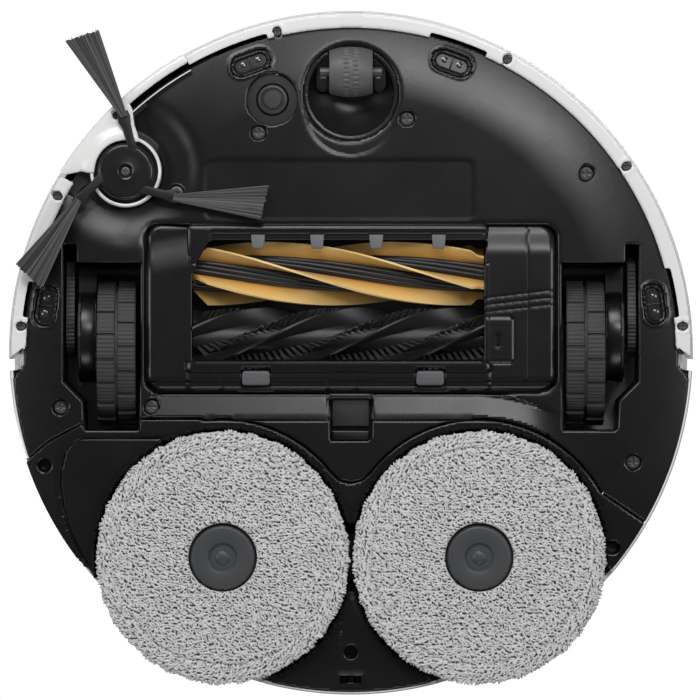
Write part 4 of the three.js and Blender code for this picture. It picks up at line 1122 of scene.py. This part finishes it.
def makeMopHub(side, cx):
    bend = np.linspace(0, math.pi / 2, 7)
    rimArc = [(14.6 + 2.0 * math.sin(b), 4.6 - 2.0 * math.cos(b)) for b in bend]
    hub = turnedPiece(f"mopHub_{side}", [(0, 3.0), (2.6, 3.1), (3.3, 3.5), (3.8, 4.1), (6.5, 4.2),
                                         (7.1, 3.5), (7.5, 2.8), (8.2, 2.6), *rimArc, (16.7, 7.4),
                                         (60, 7.4), (60, 9.4), (3.2, 9.4), (3.2, 27), (0, 27)],
                      (cx, mop["y"], 0), 128)
    finishPiece(sharpen(hub), f"{side}_mop", hubAbs, [f"{side}_mop_plate"])


def makeMicrofibre():
    # microfibre of split polyester yarn: matt, soft bright edges from the fine fibres; the colour carries
    # painted shade, dark in the hollows between the loops and pale on their tops
    material, shader = newMaterial("polyesterMicrofibre", "#b9b9ba", 0.92, 1.5)
    place = addNode(material, "ShaderNodeTexCoord")
    pile = addNode(material, "ShaderNodeAttribute", attribute_name="pile")
    # painted shade: low pile, between the loops, is painted dark
    ramp = addNode(material, "ShaderNodeValToRGB", {"Fac": pile.outputs["Fac"]})
    ramp.color_ramp.elements[0].color = linearColour("#5a5a5b")
    ramp.color_ramp.elements[1].color = linearColour("#f0f0f1")
    ramp.color_ramp.elements[1].position = 0.75
    fibre = addNode(material, "ShaderNodeTexNoise", {"Vector": place.outputs["Object"]}, Scale=2600.0,
                    Detail=3.0)
    tint = addNode(material, "ShaderNodeMix", {"Factor": fibre.outputs["Fac"], 6: ramp.outputs["Color"]},
                   data_type="RGBA", blend_type="MULTIPLY")
    tint.inputs[7].default_value = linearColour("#d8d8d8")
    bump = addNode(material, "ShaderNodeBump", {"Height": fibre.outputs["Fac"]},
                   Strength=0.8, Distance=0.12 * mm)
    material.node_tree.links.new(tint.outputs[2], shader.inputs["Base Color"])
    material.node_tree.links.new(bump.outputs["Normal"], shader.inputs["Normal"])
    shader.inputs["Sheen Weight"].default_value = 0.35
    shader.inputs["Sheen Roughness"].default_value = 0.5
    return material


microfibre = makeMicrofibre()
hubAbs = mouldedPlastic("hubCharcoalAbs", "#47484a", 0.4, 0.5, 0.012)
for number, (side, cx) in enumerate(mop["centres"]):
    makePad(side, cx, 31 + number)
    makeMopHub(side, cx)
print("mops ready")


# wheels, gearboxes and climbing legs

wheel = {"x": 120.0, "z": 37.5, "radius": 37.5, "blocks": 18, "ribs": 6, "gearboxY": -8.7,
         "legY": -13.8, "legZ": 36.0, "legHub": 15.4, "tipY": -44.0, "tipZ": 34.0, "tip": 4.8,
         "legInner": 141.8, "legOuter": 146.1, "toothPitch": 2.1}


def tyrePiece(side, sign):
    # two treads side by side; each block leans back like a ratchet tooth and carries fine ribs
    across = np.array([(24.2, -9.9), (34.5, -9.9), (36.9, -9.8), (37.4, -9.3), (37.5, -8.6), (37.5, -4.5),
                       (37.5, -1.4), (37.3, -0.9), (35.2, -0.7), (35.0, 0), (35.2, 0.7), (37.3, 0.9),
                       (37.5, 1.4), (37.5, 4.5), (37.5, 8.6), (37.4, 9.3), (36.9, 9.8),
                       (34.5, 9.9), (24.2, 9.9)])
    radius, offset = across.T
    steps = wheel["blocks"] * 48
    angle = np.arange(steps)[:, None] * 2 * math.pi / steps
    tread = (radius > 36.5) * np.where(offset * sign > 0, 1, 2)
    place = (angle * wheel["blocks"] / (2 * math.pi) + 0.5 * (tread == 1) + 0.18) % 1.0
    tooth = 0.1 + 1.3 * place + 0.12 * np.cos(2 * math.pi * wheel["ribs"] * place)
    tooth = np.where(place > 0.88, 2.6, tooth)
    radius = radius - (tread > 0) * tooth
    # angle 0 points straight down and grows towards the rear
    points = np.stack([sign * wheel["x"] + offset + 0 * angle, radius * np.sin(angle),
                       wheel["z"] - radius * np.cos(angle)], -1).reshape(-1, 3)
    tyre = meshPiece(f"tyre_{side}", points, [gridFaces(steps, len(across),
                                                        closedRows=True, closedColumns=True)])
    finishPiece(sharpen(mendNormals(tyre), 38), f"{side}_wheel", tyreRubber,
                [f"{side}_wheel_tyre"])


def uprightPlate(name, outline, x0, x1, bevel):
    # an outline of (Y, Z) points made into a plate between two places along X
    plate = platePiece(name, outline, x0, x1, bevel)
    points = np.empty(len(plate.data.vertices) * 3, np.float32)
    plate.data.vertices.foreach_get("co", points)
    plate.data.vertices.foreach_set("co", points.reshape(-1, 3)[:, [2, 0, 1]].ravel())
    plate.data.update()
    return mendNormals(plate)


def legOutline():
    # hub and tip joined by straight sides, with square teeth along the underside
    lean = math.atan2(wheel["legZ"] - wheel["tipZ"], wheel["legY"] - wheel["tipY"])
    span = math.hypot(wheel["legY"] - wheel["tipY"], wheel["legZ"] - wheel["tipZ"])
    tilt = math.asin((wheel["legHub"] - wheel["tip"]) / span)
    hubBend = np.linspace(lean - math.pi / 2 - tilt, lean + math.pi / 2 + tilt, 120)
    tipBend = np.linspace(lean + math.pi / 2 + tilt, lean + math.pi * 1.5 - tilt, 40)
    hub = np.stack([wheel["legY"] + wheel["legHub"] * np.cos(hubBend),
                    wheel["legZ"] + wheel["legHub"] * np.sin(hubBend)], 1)
    tip = np.stack([wheel["tipY"] + wheel["tip"] * np.cos(tipBend),
                    wheel["tipZ"] + wheel["tip"] * np.sin(tipBend)], 1)
    side = np.linspace(0, 1, 120)[1:-1, None]
    line = np.concatenate([hub, tip, tip[-1] + (hub[0] - tip[-1]) * side])
    ahead = np.roll(line, -1, axis=0) - np.roll(line, 1, axis=0)
    normal = np.stack([ahead[:, 1], -ahead[:, 0]], 1) / np.linalg.norm(ahead, axis=1)[:, None]
    low = line[:, 1] < wheel["legZ"] - 4
    teeth = low * 0.5 * ((line[:, 0] / wheel["toothPitch"]) % 1 < 0.4)
    return line - normal * teeth[:, None]


def makeWheels():
    for side, sign in (("right", -1), ("left", 1)):
        tyrePiece(side, sign)
        leg = uprightPlate(f"climbingLeg_{side}", legOutline(),
                           *sorted((sign * wheel["legInner"], sign * wheel["legOuter"])), 0.3)
        finishPiece(sharpen(leg, 30), f"{side}_leg", legNylon, [f"{side}_climbing_leg"])
        edge = [(0, 130.5), (21.6, 130.5), (23.4, 131.1), (23.8, 132), (23.8, 138.0), (23.2, 138.6),
                (22.4, 138.8), (22.2, 139.7), (21, 140.2), (0, 140.2)]
        drum = turnedPiece(f"gearDrum_{side}", [(r, sign * x) for r, x in edge],
                           (0, wheel["gearboxY"], wheel["z"]), 128, "x")
        finishPiece(sharpen(drum, 30), f"{side}_suspension", blackAbs)


# nylon of the climbing legs, worn paler than the gearboxes
legNylon = mouldedPlastic("climbingLegNylon", "#3c3c3d", 0.5, 0.35, 0.02)
makeWheels()
print("wheels ready")


# caster

caster = {"y": -132.9, "radius": 24.2, "rim": 22.7, "rimZ": 10.6, "wheelY": -143.8, "wheelZ": 12.9,
          "barrel": 12.9, "room": 14.0, "notches": 30}


def swivelHeight(x, y):
    rho = np.hypot(x, y - caster["y"])
    dy = y - caster["wheelY"]
    inner = np.clip(rho / caster["rim"], 0, 1)
    z = np.where(rho > caster["rim"] - 0.05, caster["rimZ"], 24.5 - 9.5 * inner ** 2.6)
    # pillars that carry the axle, each with a slot for it
    pillar = np.minimum(boxDistance(x, y, -17.0, -12.0, -151.5, -134.5, 2.4),
                        boxDistance(x, y, 12.0, 17.0, -151.5, -134.5, 2.4))
    z = np.where((pillar < 0.05) & (rho < caster["rim"]), np.minimum(z, 13.4 + 0.06 * dy), z)
    slot = boxDistance(np.abs(x), y, 11.8, 15.4, caster["wheelY"] - 2.7, caster["wheelY"] + 2.7, 0.4)
    z = np.where(slot < 0.05, 20.0, z)
    room = boxDistance(x, y, -12.0, 12.0, caster["wheelY"] - caster["room"],
                       caster["wheelY"] + caster["room"], 0.4)
    return np.where(room < 0.05, np.maximum(z, 14 + np.sqrt(np.maximum(caster["room"] ** 2 - dy ** 2, 4))),
                    z)


def makeCaster():
    contours = [lambda x, y: circleDistance(x, y, 0, caster["y"], caster["rim"]),
                lambda x, y: np.minimum(boxDistance(x, y, -17.0, -12.0, -151.5, -134.5, 2.4),
                                        boxDistance(x, y, 12.0, 17.0, -151.5, -134.5, 2.4)),
                lambda x, y: boxDistance(np.abs(x), y, 11.8, 15.4, caster["wheelY"] - 2.7,
                                         caster["wheelY"] + 2.7, 0.4),
                lambda x, y: boxDistance(x, y, -12.0, 12.0, caster["wheelY"] - caster["room"],
                                         caster["wheelY"] + caster["room"], 0.4)]
    swivel = reliefPiece("casterSwivel", -25, 25, -158, -108, 0.42,
                         lambda x, y: circleDistance(x, y, 0, caster["y"], 24.2),
                         contours, swivelHeight, 0.9)
    finishPiece(swivel, "caster_swivel", blackAbsSmooth, ["caster_swivel"])
    # barrel wheel: two staggered rows of short notches
    steps = caster["notches"] * 12
    x = np.concatenate([[-11.2, -11.2, -10.9], np.linspace(-10.4, 10.4, 70), [10.9, 11.2, 11.2]])
    crown = caster["barrel"] - 1.9 * (np.abs(x) / 11.2) ** 2.2
    crown[[0, -1]] = 2.9
    crown[[1, -2]] = 10.5
    angle = np.arange(steps)[:, None] * 2 * math.pi / steps
    place = angle * caster["notches"] / (2 * math.pi)
    first = np.exp(-(((place % 1) - 0.5) / 0.17) ** 2) * np.exp(-((x + 2.4) / 1.35) ** 6)
    second = np.exp(-((((place + 0.5) % 1) - 0.5) / 0.17) ** 2) * np.exp(-((x - 2.5) / 1.35) ** 6)
    radius = crown - 0.5 * (first + second)
    points = np.stack([x + 0 * angle, caster["wheelY"] + radius * np.sin(angle),
                       caster["wheelZ"] - radius * np.cos(angle)], -1).reshape(-1, 3)
    barrel = meshPiece("casterBarrel", points, [gridFaces(steps, len(x),
                                                          closedRows=True, closedColumns=True)])
    finishPiece(sharpen(mendNormals(barrel), 50), "caster_wheel", casterNylon,
                ["caster_wheel"])


# nylon of the caster wheel, dull from running
casterNylon = mouldedPlastic("casterWheelNylon", "#5c5c5e", 0.48, 0.4, 0.015)
makeCaster()
print("caster ready")


# sensors, screws and the latch of the deck

lens = {"along": 4.0, "radius": 3.0, "carpet": (-40.1, -129.5)}


def makeSensors():
    names = ("front_right", "front_left", "right", "left")
    for name, (cx, cy, angle) in zip(names, sensors):
        def edge(x, y, at=(cx, cy, angle)):
            return capsuleDistance(x, y, at[0], at[1], 20.5, 10.5, at[2])

        def height(x, y, at=(cx, cy, angle)):
            inner = capsuleDistance(x, y, at[0], at[1], 17.6, 7.6, at[2])
            z = hullHeight(x, y) - 0.5 + 0.5 * ease(edge(x, y, at), -0.7, 0) + 2.2 * ease(-inner, -1.2, 0.1)
            return z

        innerLine = [lambda x, y, at=(cx, cy, angle): capsuleDistance(x, y, at[0], at[1], 17.6, 7.6, at[2])]
        bezel = reliefPiece(f"cliffBezel_{name}", cx - 12, cx + 12, cy - 12, cy + 12, 0.4,
                            edge, innerLine, height, 1.0)
        finishPiece(bezel, "chassis", blackAbsSmooth, [f"cliff_sensor_{name}"])
        for number, way in enumerate((-1, 1), 1):
            lx = cx + way * lens["along"] * math.cos(angle * turn)
            ly = cy + way * lens["along"] * math.sin(angle * turn)
            z = float(hullHeight(np.array(lx), np.array(ly))) + 1.7
            bend = np.linspace(0, math.pi / 2, 9)
            dome = [(3.3 * math.sin(b), z + 0.9 - 2.2 * math.cos(b)) for b in bend[:-1]]
            dome[-1] = (3.1, z + 0.5)
            glass = turnedPiece(f"cliffLens_{name}_{number}",
                                dome + [(3.4, z + 0.4), (3.45, z + 1.6), (0, z + 1.6)], (lx, ly, 0), 48)
            finishPiece(sharpen(glass, 35), "chassis", lensResin)
        bridge = capsuleLine(cx, cy, 7.2, 0.9, angle + 90, 6)
        z = float(hullHeight(np.array(cx), np.array(cy)))
        wall = platePiece(f"cliffBridge_{name}", bridge, z - 0.1, z + 2.4, 0.2)
        finishPiece(wall, "chassis", blackAbsSmooth)


def makeCarpetSensor():
    cx, cy = lens["carpet"]
    profile = [(0, 10.55), (4.3, 10.75), (4.8, 11.5), (5.2, 11.6), (5.5, 11.0), (6.4, 10.35), (7.2, 10.5),
               (7.7, 11.2), (8.0, 12.6), (8.0, 20), (0, 20)]
    eye = turnedPiece("carpetEye", profile, (cx, cy, 0), 96)
    finishPiece(sharpen(eye, 40), "chassis", greySensor, ["carpet_sensor"])
    collar = turnedPiece("carpetCollar", [(8.3, 13.4), (8.3, 10.9), (8.6, 10.6), (13.0, 10.75),
                                          (13.1, 13.4), (8.3, 13.4)], (cx, cy, 0), 96)
    finishPiece(sharpen(collar, 40), "chassis", blackNylon)


# screw seats (radius, depth), and for the screws in them the head radius and how far it is sunk
seats = {"screw": (4.15, 2.4), "deep": (3.65, 6.5), "screwHead": 3.35, "screwSunk": 0.4, "deepHead": 2.6,
         "deepSunk": 4.6}


def seatPiece(name, cx, cy, radius, depth):
    # blind cup behind a hole of the sheet: its lip lies on the sheet and follows the sheet's height
    profile = np.array([(0.95, 0.5), (0.88, -0.02), (0.6, -0.1), (0.15, -0.1), (0.0, 0.05), (0.0, depth),
                        (-radius, depth), (-radius, depth + 0.6), (0.5, depth + 0.6), (0.5, 0.9)])
    angle = np.linspace(0, 2 * math.pi, 48, endpoint=False)
    x = cx + np.outer(radius + profile[:, 0], np.cos(angle))
    y = cy + np.outer(radius + profile[:, 0], np.sin(angle))
    level = np.where(profile[:, 1:] < 1, hullHeight(x, y), hullHeight(np.array(cx), np.array(cy)))
    points = np.stack([x, y, level + profile[:, 1:]], -1).reshape(-1, 3)
    cup = meshPiece(name, points, [gridFaces(len(profile), 48, closedRows=True, closedColumns=True)])
    finishPiece(sharpen(mendNormals(cup)), "chassis", blackAbs)


def makeLiners():
    # inner walls of the chassis behind the gap of the brush cover and behind the seams round the mops
    shelf = platePiece("bayShelf", roundedBox(-100, 100, 19.2, 23.4, 0.5), 21.0, 22.2, 0.2)
    finishPiece(shelf, "chassis", blackAbs)
    for side, x0, x1 in (("right", -139.5, -100.5), ("left", 100.5, 139.5)):
        wall = platePiece(f"wellWall_{side}", roundedBox(x0, x1, 41.4, 42.8, 0.4), 14.6, 52.0, 0.2)
        finishPiece(wall, "chassis", blackNylon)
    for side, cx in mop["centres"]:
        angle = np.linspace(-150, -40, 60) * turn if cx > 0 else np.linspace(-140, -30, 60) * turn
        outer = np.stack([cx + 73.5 * np.cos(angle), mop["y"] + 73.5 * np.sin(angle)], 1)
        inner = np.stack([cx + 69.2 * np.cos(angle), mop["y"] + 69.2 * np.sin(angle)], 1)[::-1]
        liner = platePiece(f"seamLiner_{side}", np.concatenate([outer, inner]), 15.2, 16.6, 0.2)
        finishPiece(liner, "chassis", blackAbs)


def makeScrews():
    for number, (cx, cy) in enumerate(baseScrews, 1):
        seatPiece(f"screwSeat{number}", cx, cy, *seats["screw"])
    for number, (cx, cy) in enumerate(deepHoles, 1):
        seatPiece(f"deepSeat{number}", cx, cy, *seats["deep"])
    for number, (cx, cy) in enumerate(baseScrews, 1):
        face = float(hullHeight(np.array(cx), np.array(cy))) + seats["screwSunk"]
        screw = screwPiece(f"baseScrew{number}", cx, cy, seats["screwHead"], face)
        finishPiece(screw, "chassis", blackScrew)
    for number, (cx, cy) in enumerate(deepHoles[:2], 1):
        face = float(hullHeight(np.array(cx), np.array(cy))) + seats["deepSunk"]
        screw = screwPiece(f"deepScrew{number}", cx, cy, seats["deepHead"], face)
        finishPiece(screw, "chassis", blackScrew)


def makeLatch():
    plate = platePiece("deckLatch", roundedBox(-9.7, 9.4, 23.2, 37.4, 0.8), 10.7, 15.5, 0.5)
    finishPiece(plate, "deck_latch", blackNylon, ["deck_latch"])
    ledge = platePiece("latchLedge", roundedBox(-9.7, 9.4, 39.7, 44.9, 0.8), 11.0, 14.0, 0.7)
    finishPiece(ledge, "chassis", blackAbs)
    floor = platePiece("latchFloor", roundedBox(-11.6, 11.3, 22.4, 45.8, 0.8), 15.9, 17.2, 0.3)
    finishPiece(floor, "chassis", blackNylon)


# cast epoxy over the infrared parts: dark, very smooth, with sharp highlights
lensResin = mouldedPlastic("infraredEpoxy", "#3a3a3d", 0.08, 2.0, 0.0, mottle=0.0, ior=1.55, coat=1.0)
# grey face of the ultrasonic carpet sensor
greySensor = mouldedPlastic("sensorGreyAbs", "#3b3b3d", 0.38, 0.5, 0.008)
makeSensors()
makeCarpetSensor()
makeLiners()
makeScrews()
makeLatch()
print("sensors, screws and latch ready")


# inside parts

# zinc-plated steel motor cans: cool grey, brushed-off gloss
zincSteel = mouldedPlastic("zincPlatedSteel", "#8e9194", 0.38, 0.4, 0.004)
setShader(zincSteel, Metallic=1.0, IOR=1.5)
# heat-shrunk PVC round the cells
batteryFilm = mouldedPlastic("batteryShrinkPvc", "#1c2a3c", 0.3, 0.6, 0.004)
# solder mask over glass and epoxy
circuitResin = mouldedPlastic("greenSolderMask", "#1d4a2c", 0.35, 0.4, 0.006, mottle=0.15)
# smoky translucent copolyester of tank and dust bin
tankResin = mouldedPlastic("smokyCopolyester", "#4a4d52", 0.15, 1.0, 0.002, ior=1.56)
setShader(tankResin, Transmission_Weight=0.5)
# pleated filter of glass and polyester fibre
filterPaper = mouldedPlastic("filterFleece", "#d9d6cc", 0.9, 0.3, 0.05, mottle=0.08)


# top side: cover, scanner, buttons, window and contacts

top = {"coverRadius": 149.6, "coverTop": 88.6, "turretY": 62.0, "turretRadius": 44.0, "coverBottom": 81.9}


def makeCoverPlate():
    # round lid with a softly rounded edge and a round hole for the scanner
    def edge(x, y):
        return np.maximum(circleDistance(x, y, 0, 0, top["coverRadius"]),
                          -circleDistance(x, y, 0, top["turretY"], top["turretRadius"] + 1))

    def height(x, y):
        return np.full(np.shape(x), top["coverBottom"])

    lid = reliefPiece("topCover", -151, 151, -151, 151, 2.1, edge, [], height, 1.2)
    lid.modifiers.clear()
    addModifier(lid, "SOLIDIFY", thickness=(top["coverTop"] - top["coverBottom"]) * mm, offset=-1.0)
    addModifier(lid, "BEVEL", width=1.3 * mm, segments=4, limit_method="ANGLE", angle_limit=60 * turn)
    finishPiece(lid, "top_cover", whiteAbs, ["top_cover"])


def makeScanner():
    y = top["turretY"]
    bend = np.linspace(0, math.pi / 2, 8)
    crown = [(41.0 + 3 * math.cos(b), 103 + 3 * math.sin(b)) for b in bend]
    cap = turnedPiece("turretCap", [(0, 101.9), (43.2, 101.9), (44, 102.3), *crown, (0, 106)], (0, y, 0),
                      160)
    finishPiece(sharpen(cap), "turret", blackAbsSmooth, ["turret_housing"])
    drum = turnedPiece("turretDrum", [(0, 62), (43.6, 62), (44, 62.6), (44, 89.4), (43.4, 90), (39.5, 90),
                                      (39, 89), (0, 89)], (0, y, 0), 160)
    finishPiece(sharpen(drum), "turret", blackAbs)
    for number, middle in enumerate((30, 150, 270), 1):
        angles = np.linspace(middle - 8.5, middle + 8.5, 16) * turn
        loop = np.concatenate([np.stack([43.8 * np.cos(angles), 43.8 * np.sin(angles)], 1),
                               np.stack([39.6 * np.cos(angles), 39.6 * np.sin(angles)], 1)[::-1]]) + [0, y]
        pillar = platePiece(f"turretPillar{number}", loop, 89.6, 102.3, 0.2)
        finishPiece(pillar, "turret", blackAbsSmooth)
    head = turnedPiece("lidarHead", [(0, 89.6), (32.6, 89.6), (35.2, 90.6), (36, 92.4), (36, 99),
                                     (35.2, 100.8), (33, 101.7), (0, 101.7)], (0, y, 0), 128)
    finishPiece(sharpen(head), "lidar", smoked, ["lidar_head"])


def makeWindow():
    # curved panel let into the bumper's front
    line = roundedBox(-41.2, 41.2, 33.0, 59.0, 6)
    panel = reliefPiece("frontWindow", -42.5, 42.5, 32, 60, 0.8, lambda s, z: polygonDistance(s, z, line),
                        [], lambda s, z: 175.12 + 0 * s - 0.35 * ease(polygonDistance(s, z, line), -1.0, 0),
                        1.0)
    points = np.empty(len(panel.data.vertices) * 3, np.float32)
    panel.data.vertices.foreach_get("co", points)
    s, z, radius = points.reshape(-1, 3).T
    bend = -math.pi / 2 + s / (175 * mm)
    panel.data.vertices.foreach_set("co", np.stack([radius * np.cos(bend), radius * np.sin(bend), z],
                                                   1).ravel())
    panel.modifiers.clear()
    addModifier(panel, "SOLIDIFY", thickness=0.9 * mm, offset=1.0)
    panel.data.flip_normals()
    panel.data.update()
    finishPiece(panel, "bumper", smoked, ["front_window"])


def makeButtonsAndContacts():
    bend = np.linspace(0, math.pi / 2, 6)
    crown = [(5.2 + 0.8 * math.cos(b), 85.8 + 0.8 * math.sin(b)) for b in bend]
    for name, x in (("power_button", -13), ("home_button", 13)):
        cap = turnedPiece(f"{name}Cap", [(0, 83.6), (6, 83.6), *crown, (3.8, 86.45), (0, 86.3)],
                          (x, -160, 0), 64)
        finishPiece(sharpen(cap), name, greyAbs, [name])


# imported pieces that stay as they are, mostly inside, by what each is made of
keptNodes = {"brush_bay": (blackAbs, "black_plastic"), "right_wheel_well": (blackNylon, "black_plastic"),
             "left_wheel_well": (blackNylon, "black_plastic"), "caster_cup": (blackNylon, "black_plastic"),
             "right_wheel_rim": (greyAbs, "grey_plastic"), "left_wheel_rim": (greyAbs, "grey_plastic"),
             "right_wheel_gearbox": (blackNylon, "black_plastic"),
             "left_wheel_gearbox": (blackNylon, "black_plastic"), "caster_axle": (blackScrew, "metal"),
             "right_mop_arm": (greyAbs, "grey_plastic"), "right_mop_motor": (zincSteel, "metal"),
             "left_mop_motor": (zincSteel, "metal"), "right_mop_carriage": (plated, "metal"),
             "left_mop_carriage": (plated, "metal"), "right_charge_contact": (plated, "metal"),
             "left_charge_contact": (plated, "metal"), "battery_pack": (batteryFilm, "black_plastic"),
             "main_board": (circuitResin, "circuit_board"), "suction_fan": (blackNylon, "black_plastic"),
             "water_tank": (tankResin, "clear_bin"), "roller_motor": (zincSteel, "metal"),
             "dust_bin": (tankResin, "clear_bin"), "dust_filter": (filterPaper, "filter_paper")}
for name, (material, slot) in keptNodes.items():
    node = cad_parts[name]
    node.data.materials.clear()
    node.data.materials.append(material)

makeCoverPlate()
makeScanner()
makeWindow()
makeButtonsAndContacts()
print("top side ready")
